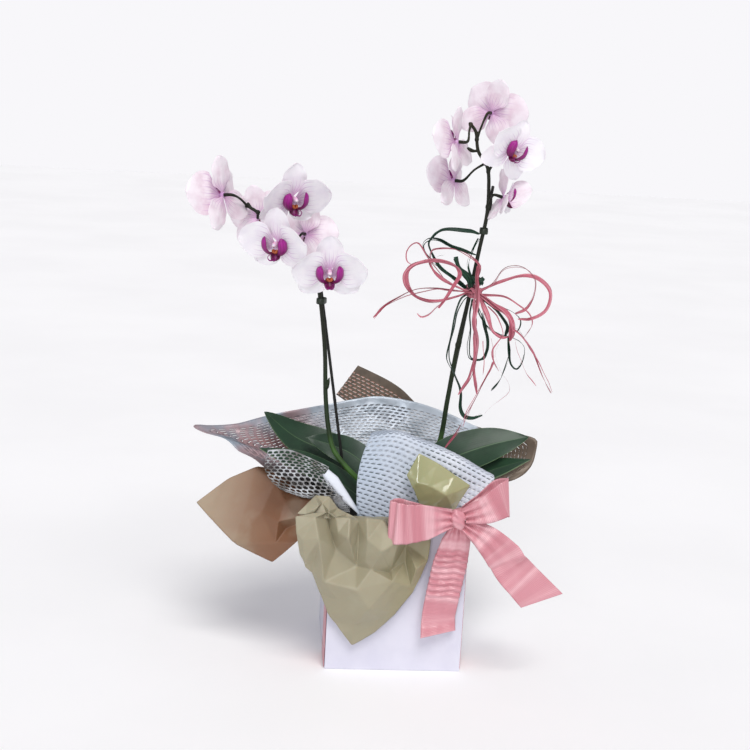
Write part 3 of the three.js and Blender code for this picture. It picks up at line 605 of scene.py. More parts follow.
def strand_tree():
    """Raffia strands: each line becomes a flat, slightly curled tape; its radius is half its width."""
    tree, given = geometry_tree("Raffia strands", Point_spacing="Float", Thickness="Float")
    half, tilt = (add(tree, NAMED, {"Name": key}, data_type="FLOAT") for key in ("half_width", "tilt"))
    lines = add(tree, "GeometryNodeMeshToCurve", {"Mesh": given["Geometry"]})
    lines = add(tree, "GeometryNodeSetCurveRadius", {"Curve": lines, "Radius": half})
    lines = add(tree, "GeometryNodeSetCurveTilt", {"Curve": lines, "Tilt": tilt})
    spacing = {"Curve": lines, "Length": given["Point spacing"]}
    lines = add(tree, "GeometryNodeResampleCurve", spacing, mode="LENGTH")
    section = add(tree, "GeometryNodeCurvePrimitiveCircle", {"Resolution": 10, "Radius": 1.0})
    lines, section = (
        add(tree, STORE, {
            "Geometry": mesh, "Name": name, "Value": add(tree, "GeometryNodeSplineParameter", out=measure),
        }, **PER_POINT)
        for mesh, name, measure in ((lines, "run", "Length"), (section, "turn", "Factor"))
    )
    spot = add(tree, SPLIT, [add(tree, POSITION)], None).outputs
    thin = add(tree, "MULTIPLY", [spot["Y"], given["Thickness"]])
    curl = add(tree, "MULTIPLY_ADD", [add(tree, "POWER", [spot["X"], 2.0]), 0.16, thin])
    section = add(tree, MOVE, {"Geometry": section, "Position": add(tree, JOIN, [spot["X"], curl])})
    tapes = add(tree, "GeometryNodeCurveToMesh", {
        "Curve": lines, "Profile Curve": section, "Scale": add(tree, "GeometryNodeInputRadius"),
        "Fill Caps": True,
    })
    uv = add(tree, JOIN, [add(tree, NAMED, {"Name": key}, data_type="FLOAT") for key in ("run", "turn")])
    named = {"Geometry": tapes, "Name": "UVMap", "Value": uv}
    tapes = add(tree, STORE, named, data_type="FLOAT2", domain="CORNER")
    return end_tree(tree, given, add(tree, "GeometryNodeSetShadeSmooth", {"Geometry": tapes}))


def chip_tree():
    """Loose bark: chips strewn over the top of the mix, each turned and sized at random from one seed."""
    sockets = {"Chip": "Object", "Density": "Float", "Chip_length": "Float", "Seed": "Int"}
    tree, given = geometry_tree("Bark chips", **sockets)
    upright = add(tree, SPLIT, [add(tree, NORMAL)], "Z")
    # only where the mix faces up: its walls are against the pot
    upper = add(tree, COMPARE, [upright, 0.5], operation="GREATER_THAN")
    spots = add(tree, "GeometryNodeDistributePointsOnFaces", {
        "Mesh": given["Geometry"], "Density": given["Density"], "Seed": given["Seed"], "Selection": upper,
    })
    turned = add(tree, RANDOM, {
        "Min": (-0.5, -0.5, 0.0), "Max": (0.5, 0.5, 2 * math.pi), "Seed": given["Seed"],
    }, data_type="FLOAT_VECTOR")
    grown = add(tree, RANDOM, {
        "Min": (0.5, 0.35, 0.5), "Max": (1.2, 1.1, 1.2), "Seed": 7,
    }, data_type="FLOAT_VECTOR")
    grown = add(tree, SCALED, {0: grown, "Scale": given["Chip length"]}, operation="SCALE")
    chip = add(tree, OBJECT, {"Object": given["Chip"]}, "Geometry")
    chips = add(tree, INSTANCES, {"Points": spots, "Instance": chip, "Rotation": turned, "Scale": grown})
    return end_tree(tree, given, chips, given["Geometry"])


# ---------------------------------------------------------------- materials with a pattern of their own
def pine_bark():
    """Pine bark chips: rough plates, brown with dark cracks and paler broken faces."""
    material, tree, spot, grain = material_tree("pine_bark", (3, 6))
    plates = add(tree, CELLS, {"Vector": spot, "Scale": pitch(5)})
    tone = layered(
        tree, "#20150F", (grain, 0.2, 0.8, 1.0, colours().bark), (plates, 0.0, 1.0, 1.0, "#7A563C"),
    )
    return finish(material, tree, tone, grain, 0.7, 1.0, Roughness=0.9)


def leaf_skin():
    """A leaf's waxy cuticle: deep green above, grey-green below, with a paler midrib and fine veins."""
    material, tree, _, mottle = material_tree("waxy_leaf", (16, 4))
    across, along, side = (
        add(tree, MARK, out="Fac", attribute_name=key) for key in ("across", "along", "side")
    )
    # some twenty veins run the length of the blade
    veins = add(tree, "COSINE", [add(tree, "MULTIPLY", [across, 62.0])])
    away = add(tree, "ABSOLUTE", [across])
    green = layered(
        tree, colours().leaf, (mottle, 0.3, 0.7, 0.8, 0.0, "#16301F"),
        (along, 0.0, 0.3, 0.6, 0.0, "#4D6F38"),
        (veins, 0.4, 1.0, 0.05, "#4F7A4E"), (away, 0.0, 0.045, 0.35, 0.0, "#6F9163"),
    )
    under = layered(tree, "#4A5D40", (mottle, 0.3, 0.7, 1.0, colours().leaf_under))
    tone = layered(tree, under, (side, 0.0, 1.0, 1.0, green), (away, 0.96, 1.0, 0.45, "#6C8A5C"))
    return finish(
        material, tree, tone, veins, 0.05, 0.3, Roughness=0.42, Specular_IOR_Level=0.4, Coat_Weight=0.15,
        Coat_Roughness=0.3,
    )


def stalk_skin():
    """Green stem tissue that ripens to brown-black up the stalk, with pale specks."""
    material, tree, spot, cloud = material_tree("flower_stalk", (22, 2))
    level = add(tree, "MULTIPLY_ADD", [cloud, 0.12, add(tree, SPLIT, [spot], "Z")])
    specks = add(tree, CELLS, {"Vector": spot, "Scale": pitch(3)})
    tone = layered(
        tree, colours().stalk, (level, 0.22, 0.3, 1.0, "#1E2E17"),
        (level, 0.3, 0.42, 1.0, colours().stalk_ripe), (level, 0.55, 0.66, 0.8, "#3A3422"),
        (specks, 0.05, 0.18, 0.25, 0.0, "#6B6848"),
    )
    return finish(material, tree, tone, cloud, 0.2, 0.5, Roughness=0.5, Specular_IOR_Level=0.25)


def dyed_bamboo():
    """Split bamboo, dyed near black and waxed: fine fibres run up it."""
    material, tree, spot = material_tree("dyed_bamboo")
    # the fibres are long in Z: 0.6 mm wide, 40 mm long
    along = add(tree, "ShaderNodeMapping", {"Vector": spot, "Scale": (pitch(0.6), pitch(0.6), pitch(40))})
    fibres = add(tree, NOISE, {"Vector": along, "Scale": 1.0, "Detail": 3.0})
    tone = layered(tree, colours().stake, (fibres, 0.3, 0.8, 1.0, "#2A2A24"))
    return finish(material, tree, tone, fibres, 0.3, 0.3, Roughness=0.55, Specular_IOR_Level=0.3)


def petal_tissue():
    """Petal and sepal tissue: translucent white, blushed and veined purple from the base, pinker behind."""
    material, tree, _, cloud, cells = material_tree("petal_tissue", (11, 3), (0.9, 2))
    across, along, side = (
        add(tree, MARK, out="Fac", attribute_name=key) for key in ("across", "along", "side")
    )
    # veins fan out from the claw: main ones, and as many finer ones between them
    bend = add(tree, "MULTIPLY", [cloud, 1.6])
    main, fine = (
        add(tree, "COSINE", [add(tree, "MULTIPLY_ADD", [across, turns, bend])])
        for turns in (23.0, 46.0)
    )
    fine = add(tree, "SUBTRACT", [fine, 0.1])
    ridges = add(tree, "MAXIMUM", [main, fine])
    # they fade towards the rim
    fading = add(tree, "MULTIPLY_ADD", [along, -0.95, ridges])
    front = layered(tree, colours().petal, (cloud, 0.3, 0.8, 1.0, "#EEE8F1"))
    back = layered(
        tree, colours().petal_back, (cloud, 0.3, 0.75, 1.0, "#DFC9D4"), (along, 0.45, 1.0, 0.55, "#F1E9F0"),
    )
    tone = layered(
        tree, back, (side, 0.0, 1.0, 1.0, front), (along, 0.0, 0.4, 0.6, 0.0, "#D091C2"),
        (fading, 0.34, 0.9, 0.55, colours().petal_vein),
    )
    height = add(tree, "MULTIPLY_ADD", [ridges, -0.4, cells])
    return finish(
        material, tree, tone, height, 0.22, 0.2, Roughness=0.5, Subsurface_Weight=0.3,
        Subsurface_Scale=0.003, Subsurface_Radius=(1.0, 0.75, 0.85), Sheen_Weight=0.1,
        Specular_IOR_Level=0.35,
    )


def lip_tissue():
    """The lip's firm, waxy tissue: vivid magenta, dark wine at its base and edges, with darker veins."""
    material, tree, _, cloud = material_tree("lip_tissue", (4, 3))
    across, along = (add(tree, MARK, out="Fac", attribute_name=key) for key in ("across", "along"))
    level = add(tree, "MULTIPLY_ADD", [cloud, 0.3, along])
    tone = add(tree, "ShaderNodeValToRGB", [level], stops=[
        (0.0, "#D99AB0"), (1.0, "#A31B8C"), (0.16, colours().lip_dark), (0.45, "#6E0F50"),
        (0.75, colours().lip),
    ])
    veins = add(tree, "COSINE", [add(tree, "MULTIPLY_ADD", [across, 11.0, cloud])])
    edge = add(tree, "ABSOLUTE", [across])
    tone = layered(tree, tone, (veins, 0.3, 1.0, 0.4, "#5A0A48"), (edge, 0.75, 1.0, 0.5, "#5E0F3C"))
    return finish(
        material, tree, tone, veins, 0.2, 0.2, Roughness=0.4, Specular_IOR_Level=0.35, Coat_Weight=0.1
    )


def callus_tissue():
    """The callus between the side lobes: wet-looking orange with red stripes."""
    material, tree, spot = material_tree("callus_tissue")
    across = add(tree, MARK, out="Fac", attribute_name="across")
    spots = add(tree, CELLS, {"Vector": spot, "Scale": pitch(1.6)})
    tone = layered(
        tree, colours().callus, (spots, 0.15, 0.45, 0.9, 0.2, "#7E1C22"),
        (across, 0.0, 1.0, 1.0, "#E0A040"),
    )
    return finish(
        material, tree, tone, spots, 0.3, 0.2, Roughness=0.3, Coat_Weight=0.3, Coat_Roughness=0.15
    )


def column_tissue():
    """The column: pale pink flesh, deeper at its foot, with a paler cap at its tip."""
    material, tree, _, cloud = material_tree("column_tissue", (2.5, 3))
    along = add(tree, MARK, out="Fac", attribute_name="along")
    level = add(tree, "MULTIPLY_ADD", [cloud, 0.15, along])
    tone = layered(
        tree, "#8E3A76", (level, 0.1, 0.55, 1.0, colours().column), (level, 0.75, 1.05, 0.8, "#EBDCE4"),
    )
    return finish(
        material, tree, tone, cloud, 0.15, 0.2, Roughness=0.45, Subsurface_Weight=0.2,
        Subsurface_Scale=0.002
    )


def floral_paper(name, face, shade, near, far, **shader):
    """Coated floral paper: a dull film, glossy on its creases, with pale sage patches of painted sheen; its
    colour turns from `face` to `shade` from `near` to `far` in X, as painted shade where `shade` is darker
    and painted light where it is paler.
    """
    # paper fibres are finer than a tenth of a millimetre: drawn at 1.2 mm
    material, tree, spot, cloud, fibres = material_tree(name, (35, 3), (1.2, 4))
    level = add(tree, "MULTIPLY_ADD", [cloud, 0.03, add(tree, SPLIT, [spot])])
    # painted shade along X (painted light for the film), and pale sage patches of painted sheen
    tone = layered(tree, face, (level, near * MM, far * MM, 1.0, shade), (cloud, 0.5, 0.75, 0.2, "#B9B6A0"))
    return finish(
        material, tree, tone, fibres, 0.08, 0.3, Subsurface_Weight=0.05, Subsurface_Scale=0.001, **shader
    )


def silver_paper():
    """Die-cut paper with a pearly silver coat, turned over to its kraft side at the right. Its colour holds
    painted light:
    brightest at the crumpled back, with painted pink light in patches, painted pinkish shade over its lower
    parts, a painted shadow near black at the front, and painted shade on the raised lips of its slits."""
    material, tree, spot, cast, shine, grain = material_tree(
        "pearl_coated_paper", (45, 2), (18, 3), (2.2, 4)
    )
    x, y, z = add(tree, SPLIT, [spot], None).outputs
    relief = add(tree, MARK, out="Fac", attribute_name="relief")
    low = add(tree, "MULTIPLY_ADD", [x, -0.16, z])
    tone = layered(
        # painted pink light in patches, and painted pinkish shade over the lower parts
        tree, colours().silver, (cast, 0.46, 0.62, 0.6, colours().blush),
        (low, 0.225, 0.238, 0.6, 0.0, "#A4716C"),
        # painted light brightens it towards the back; then darker patches in its coat
        (x, -0.11, -0.06, 0.9, "#C4D0DA"), (shine, 0.5, 0.7, 0.6, "#8B97A2"),
        # painted shadow: the paper goes near black towards the front, inside the wrap
        (y, -0.04, -0.006, 1.0, 0.0, "#2E2823"),
        # painted shade on the slits' raised lips; then the kraft side at the right
        (relief, -0.2, 1.0, 0.7, "#5F6268"), (x, 0.088, 0.094, 1.0, colours().kraft),
    )
    return finish(material, tree, tone, grain, 0.18, 0.6, Metallic=0.25, Roughness=0.4)


def kraft_paper():
    """The uncoated kraft side: brown, fibrous and matt, with salmon pink painted light at the lips of its
    slits, where light comes through.
    """
    material, tree, _, cloud, grain = material_tree("kraft_paper", (9, 3), (1.5, 4))
    relief = add(tree, MARK, out="Fac", attribute_name="relief")
    tone = layered(
        # painted light: salmon pink at the slits' raised lips
        tree, colours().kraft, (cloud, 0.3, 0.75, 0.8, "#4C4238"), (relief, 0.1, 0.7, 0.85, "#CF9885"),
    )
    return finish(material, tree, tone, grain, 0.2, 0.4, Roughness=0.7)


def white_paper():
    """White wood-free paper with a soft coat: clean white, faintly cool, with soft fibre bumps; painted
    shade greys the flap towards the left and darkens the raised lips of its slits.
    """
    material, tree, spot, mottle, grain = material_tree("white_die_cut_paper", (28, 3), (1.6, 4))
    relief = add(tree, MARK, out="Fac", attribute_name="relief")
    x = add(tree, SPLIT, [spot])
    # painted shade makes the flap cooler and greyer towards the left, stopping short of the curl's white
    # edge further left; painted shade also darkens the slits' raised lips
    tone = layered(
        tree, "#D9DEE7", (mottle, 0.3, 0.8, 1.0, "#C3CBD8"), (x, -0.04, 0.05, 0.75, 0.0, "#A0AEBE"),
        (x, -0.05, -0.042, 1.0, 0.0, "#D9DEE7"), (relief, 0.0, 1.0, 0.45, "#868B97"),
    )
    return finish(material, tree, tone, grain, 0.1, 0.4, Roughness=0.5)


def grosgrain():
    """Woven rayon grosgrain: cross ribs, a silky sheen, and warp threads along it; its colour holds painted
    sheen in pale bands and darker patches, and painted shade in the grooves between its ribs.
    """
    material, tree, _ = material_tree("woven_grosgrain")
    u, v, _ = add(tree, SPLIT, [add(tree, "ShaderNodeUVMap", uv_map="UVMap")], None).outputs
    # warp threads are 0.25 mm apart: drawn at 0.9 mm
    threads, ribs = (
        add(tree, "SINE", [add(tree, "MULTIPLY", [place, 2 * math.pi / size])])
        for place, size in ((v, 0.9 * MM), (u, sizes().rib_pitch))
    )
    # painted sheen: pale bands of painted highlight and darker patches of painted shade run along the ribbon
    run = add(tree, "ShaderNodeCombineXYZ", [u, add(tree, "MULTIPLY", [v, 0.06])])
    painted_sheen_shade, bands = (add(tree, NOISE, {"Vector": run, "Scale": pitch(size)}) for size in (24, 15))
    tone = layered(
        tree, colours().ribbon, (painted_sheen_shade, 0.3, 0.7, 1.0, "#C27A84"), (bands, 0.42, 0.72, 0.7, "#EEC6CB"),
        # painted shade in the grooves between the ribs
        (ribs, -1.0, 1.0, 0.35, 0.0, "#B8687A"),
    )
    height = add(tree, "MULTIPLY_ADD", [threads, 0.3, ribs])
    return finish(
        material, tree, tone, height, 0.2, 0.2, Roughness=0.3, Sheen_Weight=0.2, Sheen_Roughness=0.35,
        Sheen_Tint=linear("#FFD7DE"), Specular_IOR_Level=0.8,
    )


def raffia_fibre(name, face, light):
    """Dyed raffia: flat palm fibre with streaks along it, glossy on its smooth face."""
    material, tree, _ = material_tree(name)
    uv = add(tree, "ShaderNodeUVMap", uv_map="UVMap")
    # streaks are 0.4 mm wide and some 60 mm long
    along = add(tree, "ShaderNodeMapping", {"Vector": uv, "Scale": (pitch(60), 9.0, 1.0)})
    streaks = add(tree, NOISE, {"Vector": along, "Scale": 1.0, "Detail": 4.0})
    tone = layered(tree, face, (streaks, 0.46, 0.68, 1.0, light))
    return finish(material, tree, tone, streaks, 0.4, 0.3, Roughness=0.5, Specular_IOR_Level=0.3)


# ---------------------------------------------------------------- box, pot and bark
SIDE, HEIGHT, BOARD, FLOOR_BOARD = 135, 155, 1.6, 2.0
POT_PROFILE = [
    (43, 2.1), (44, 2.6), (55, 124.5), (58.6, 125), (59, 125.6), (59, 133.6), (58.6, 134), (57.8, 134),
    (57.4, 133.6), (57.4, 126.8), (53.4, 126.2), (41.6, 4.2),
]
BARK_PROFILE = [(40.6, 4.2), (50.9, 120), (48, 124), (34, 126), (16, 127.5)]


def round_rings(profile, sides):
    angle = np.linspace(0, 2 * math.pi, sides, endpoint=False)
    circle = np.stack([np.cos(angle), np.sin(angle), 0 * angle], 1)
    return [circle * r + (0, 0, z) for r, z in profile]


class OrchidBox(bpy.types.Operator):
    """Builds the gift box: folded paperboard, open at the top, with the glue flap inside one corner"""

    bl_idname = "orchid.gift_box"
    bl_label = "Gift box"

    def execute(self, context):
        corners = np.array([(-1, -1, 0), (1, -1, 0), (1, 1, 0), (-1, 1, 0)], float)
        outer, inner = SIDE / 2, SIDE / 2 - BOARD
        levels = [(outer, 0), (outer, HEIGHT), (inner, HEIGHT), (inner, FLOOR_BOARD)]
        walls = lofted([corners * r + (0, 0, z) for r, z in levels])
        # the glue flap: 16 mm wide with slanted ends and 0.4 mm thick, against the back wall
        flap = np.array([[(0.2, 0, z) for z in (6, 150)], [(16, 0, z) for z in (14, 142)]])
        flap = flap + (-inner, inner - 0.5, 0)
        glued = shell(flap, flap + (0, 0.4, 0))
        # coated paperboard, calendered: smooth and satin, with a faint mottle; its fibres are 0.1 mm wide
        # and are drawn at 0.9 mm, the finest that shows
        board = grainy(
            "coated_paperboard", colours().board, "#D5D4E0", 30, 0.9, 0.12, 0.2, Roughness=0.5,
            Specular_IOR_Level=0.3,
        )
        box = mesh_object("gift_box_board", [walls, glued], [board])
        box.data.polygons.foreach_set("use_smooth", [False] * len(box.data.polygons))
        modify(box, "BEVEL", width=sizes().board_bevel, segments=3, limit_method="ANGLE")
        place(settle(box), "board", "gift_box")
        return {"FINISHED"}


class OrchidPot(bpy.types.Operator):
    """Builds the grow pot with its ledge and rolled rim"""

    bl_idname = "orchid.grow_pot"
    bl_label = "Grow pot"

    def execute(self, context):
        # injection-moulded polypropylene: near black, dusty, with a fine matt mould grain
        plastic = grainy(
            "moulded_polypropylene", colours().pot, "#3A3832", 14, 0.8, 0.2, 0.2, Roughness=0.5
        )
        pot = mesh_object("grow_pot_shell", [lofted(round_rings(POT_PROFILE, 96))], [plastic])
        place(pot, "dark_plastic", "grow_pot")
        return {"FINISHED"}


class OrchidBark(bpy.types.Operator):
    """Builds the bark mix: a body in the pot with loose chips strewn over its top"""

    bl_idname = "orchid.bark_mix"
    bl_label = "Bark mix"

    def execute(self, context):
        bark = pine_bark()
        rng = np.random.default_rng(4)
        cells = ball((0, 0, 0), (0.5, 0.36, 0.2), turns=5, sides=7)
        rough = cells[0] * (1 + 0.35 * rng.uniform(-1, 1, (len(cells[0]), 1)))
        chip = mesh_object("bark_chip", [(rough / MM, cells[1], 0)], [])
        chip.data.polygons.foreach_set("use_smooth", [False] * len(chip.data.polygons))
        mix = mesh_object("bark_mix_chips", [lofted(round_rings(BARK_PROFILE, 48))], [bark])
        run_tree(
            mix, chip_tree(), bark, Chip=chip, Density=52000.0, Chip_length=sizes().chip_length, Seed=3
        )
        mix = settle(mix)
        bpy.data.objects.remove(chip)
        place(mix, "bark", "bark_mix")
        return {"FINISHED"}


# ---------------------------------------------------------------- crown and leaves
CROWN_PROFILE = [
    (4.5, 128.2), (8.5, 133), (9.5, 140), (9.3, 148), (8.2, 156), (6.4, 163), (3.5, 168.5), (1.2, 171),
]
# Roots that come out of the crown and run down into the bark.
ROOTS = [
    [(-4, -6, 136), (-14, -16, 135), (-22, -26, 130), (-28, -33, 124)],
    [(5, -6, 134), (14, -18, 136), (26, -26, 131), (34, -32, 124)],
    [(6, 5, 135), (18, 14, 137), (30, 16, 132), (40, 20, 123)],
    [(-5, 5, 133), (-14, 18, 136), (-17, 32, 131), (-14, 42, 123)],
    [(-8, 0, 133), (-22, 2, 136), (-34, 6, 131), (-43, 10, 123)],
]
ROOT_RADII = [2.9, 2.6, 2.2]
# Each leaf: its midrib from the crown to the tip, the way its upper face looks, and its greatest width.
LEAVES = {
    "leaf_left_back": ([(-12, 7, 150), (-34, 22, 178), (-67, 29, 195), (-105, 29, 212), (-136, 27, 237)],
        (0.25, -0.72, 0.62), 43),
    "leaf_left_middle": ([(-13, 1, 158), (-27, 10, 184), (-46, 15, 199), (-68, 15, 208), (-93, 14, 215)],
        (-0.2, -0.85, 0.5), 30),
    "leaf_left_front": ([(-13, -4, 136), (-36, -15, 160), (-70, -27, 187), (-105, -33, 203),
        (-140, -34, 215)], (0.1, -0.5, 0.85), 33),
    "leaf_right_back": ([(6, 13, 142), (16, 33, 170), (42, 44, 184), (70, 46, 190)], (-0.3, -0.3, 0.9), 28),
    "leaf_right_top": ([(13, -1, 158), (28, -8, 186), (56, -12, 206), (92, -11, 220), (131, -8, 229)],
        (-0.2, -0.72, 0.66), 45),
    "leaf_right_front": ([(12, -4, 142), (30, -14, 164), (60, -22, 182), (96, -24, 198), (132, -24, 210)],
        (-0.15, -0.35, 0.92), 35),
}


def two_sided(along, across):
    """Attributes of a skin made of an upper and a lower grid: places along and across it, and its side."""
    one = np.ones(np.broadcast(along, across).shape)
    fields = {"along": (along, along), "across": (across, across), "side": (1, 0)}
    return {key: np.concatenate([(value * one).ravel() for value in pair]) for key, pair in fields.items()}


def leaf_blade(rib, face, width, thickness, seed):
    """A leaf as a closed skin: a keeled blade with a groove along its midrib and slightly wavy margins."""
    steps, half_cells = 64, 12
    # the keel as a share of the half width; the wave and the groove in millimetres
    keel_rise, wave_height, groove_depth = 0.16, 0.7, 0.45
    u = (1 - np.cos(np.linspace(0, math.pi, steps + 1))) / 2
    line = spline(rib)
    places, _ = even_places(line, 401)
    centre = line(np.interp(u, np.linspace(0, 1, 401), places))
    along = unit(np.gradient(centre, axis=0))
    side = unit(np.cross(along, unit(np.array(face, float))))
    up = unit(np.cross(side, along))
    swell = 0.34 + 0.66 * np.sin(math.pi * np.minimum(u * 0.95 + 0.02, 1)) ** 0.8
    taper = np.maximum(0, 1 - np.maximum(0, (u - 0.58) / 0.42) ** 2.3) ** 0.62
    half = width / 2 * np.maximum(0.03, swell * taper)
    s = np.sin(np.linspace(-math.pi / 2, math.pi / 2, 2 * half_cells + 1))
    keel = keel_rise * half[:, None] * np.abs(s) ** 1.5
    wave = wave_height * np.abs(s) ** 3 * np.sin(u * 16 + seed)[:, None] * np.sign(s)
    groove = -groove_depth * np.exp(-((s * half[:, None] / 1.0) ** 2)) * np.sin(math.pi * u)[:, None]
    # thinner towards its margins and its tip
    thick = thickness / MM * (0.5 + 0.5 * (1 - np.abs(s) ** 2))[None]
    thick = thick * np.minimum(1, 0.35 + half / 8)[:, None]
    base = centre[:, None] + (half[:, None] * s)[..., None] * side[:, None]
    base = base + (keel + wave)[..., None] * up[:, None]
    top = base + (groove + thick / 2)[..., None] * up[:, None]
    bottom = base + (groove * 1.2 - thick / 2)[..., None] * up[:, None]
    verts, faces = shell(top, bottom)
    return verts, faces, 0, two_sided(u[:, None], s[None])


class OrchidLeaves(bpy.types.Operator):
    """Builds the crown with its roots, and the six leaves"""

    bl_idname = "orchid.leaves"
    bl_label = "Crown and leaves"

    def execute(self, context):
        rings = [ring * (1, 0.8, 1) for ring in round_rings(CROWN_PROFILE, 40)]
        parts = [lofted(rings)]
        parts += [rod(root, ROOT_RADII, 24) for root in ROOTS]
        # velamen and dry leaf sheaths: grey-green and matt, in soft patches
        velamen = grainy("orchid_root_skin", "#42532F", colours().root, 9, 5, 0.3, 0.5, Roughness=0.7)
        place(mesh_object("crown_and_roots", parts, [velamen]), "crown", "crown")
        skin = leaf_skin()
        for seed, (name, (rib, face, width)) in enumerate(LEAVES.items()):
            blade = leaf_blade(rib, face, width, sizes().leaf_thickness, seed)
            place(mesh_object(f"{name}_blade", [blade], [skin]), "leaf", name)
        return {"FINISHED"}


# ---------------------------------------------------------------- flower spikes, stakes and clips
STAKES = {"left": [(-33, 0, 60), (-87, 5.5, 380)], "right": [(22, 19, 60), (79, 6.5, 478)]}
SPIKES = {
    "left": {
        "stem": [
            (-10, -12, 148), (-26, -20, 172), (-42, -22, 185), (-54, -20, 196), (-66, -15, 211),
            (-72, -10, 232),
            (-76, -6, 262), (-79, -2, 310), (-86, -0.4, 361), (-89, 1, 375), (-99, 3, 397), (-118, 4, 416),
            (-136, 4, 433), (-152, 4, 443), (-161, 5, 448),
        ],
        "nodes": [(-76, -5.4, 274)],
        "bud": [(-154, 4, 444), (-158, 9, 446), (-160, 12, 449)],
    },
    "right": {
        "stem": [
            (12, 7, 150), (26, 9, 182), (42, 9.5, 212), (48, 7.5, 260), (54, 6.5, 313), (62, 4.5, 364),
            (69, 2.5, 415),
            (74, 1, 450), (74, 0.5, 475), (71, 0, 497), (61, 0, 512), (57, 0, 531), (51, 0, 538),
        ],
        "nodes": [(55, 6.2, 318), (75, 1, 458)],
        "bud": [(61, 0, 512), (55, -1, 512), (51, -2, 514)],
    },
}
# Radii in millimetres along a stem, an end bud, a bract and a flower's pedicel, and of the lumps on a stem.
STEM_RADII, BUD_RADII, BRACT_RADII = [3.0, 2.6, 2.3, 2.1, 1.9, 1.6], [0.9, 1.4, 2.0, 1.5], [2.4, 2.0, 0.5]
PEDICEL_RADII, NODE_RADII, JOINT_RADII = [1.5, 1.15, 1.15, 1.5, 1.9], (3.1, 3.1, 4.2), (2.3, 2.3, 2.6)
STAKE_RADIUS, STAKE_KNOT = 1.5, 0.16
# The clips: where the stem runs beside its stake. A clip's band: half its thickness, half its height and its
# distance from the stem's middle and the stake's.
CLIPS = {"stem_clip_left": ("left", (-85.4, -0.4, 358)), "stem_clip_right": ("right", (72.2, 1.6, 434))}
CLIP_BAND = (0.6, 2.9, 3.65)
# yaw: 0 faces the front, positive turns to the right; nod: positive looks down; roll: positive leans right.
FLOWERS = {
    "left_1": dict(hub=(-185, -15, 459), root=(-166, 1, 450), yaw=-126, nod=6, roll=12, size=1.04),
    "left_2": dict(hub=(-118, -14, 458), root=(-137, 3, 434), yaw=25, nod=25, roll=-4, size=1.0),
    "left_3": dict(hub=(-149, 22, 436), root=(-150, 3, 442), yaw=172, nod=0, roll=14, size=0.86),
    "left_4": dict(hub=(-130, -38, 417), root=(-119, 3, 417), yaw=-25, nod=24, roll=2, size=1.0),
    "left_5": dict(hub=(-102, 28, 420), root=(-112, 4, 411), yaw=158, nod=8, roll=-10, size=0.86),
    "left_6": dict(hub=(-80, -40, 393), root=(-98, 2, 396), yaw=0, nod=25, roll=-2, size=1.02),
    "right_1": dict(hub=(73, 10, 549), root=(63, 0, 524), yaw=150, nod=-4, roll=-20, size=0.94),
    "right_2": dict(hub=(38, -9, 520), root=(52, 0, 537), yaw=-117, nod=6, roll=6, size=0.92),
    "right_3": dict(hub=(41, 18, 481), root=(68, 0, 500), yaw=230, nod=4, roll=-4, size=0.9),
    "right_4": dict(hub=(90, -24, 515), root=(72, 0, 493), yaw=22, nod=12, roll=24, size=0.86),
    "right_5": dict(hub=(88, -10, 469), root=(74, 0, 458), yaw=100, nod=12, roll=18, size=0.76),
}


def turn_about(degrees, axis):
    """The rotation by so many degrees round one of the axes."""
    return Matrix.Rotation(math.radians(degrees), 3, axis)


def facing(f):
    """The rotation that turns a flower from facing -Y to its own direction."""
    yaw, nod, roll = (turn_about(f[key], axis) for key, axis in (("yaw", "Z"), ("nod", "X"), ("roll", "Y")))
    return np.array(yaw @ nod @ roll)


def flower_place(points, f):
    return np.asarray(points) * f["size"] @ facing(f).T + np.array(f["hub"], float)


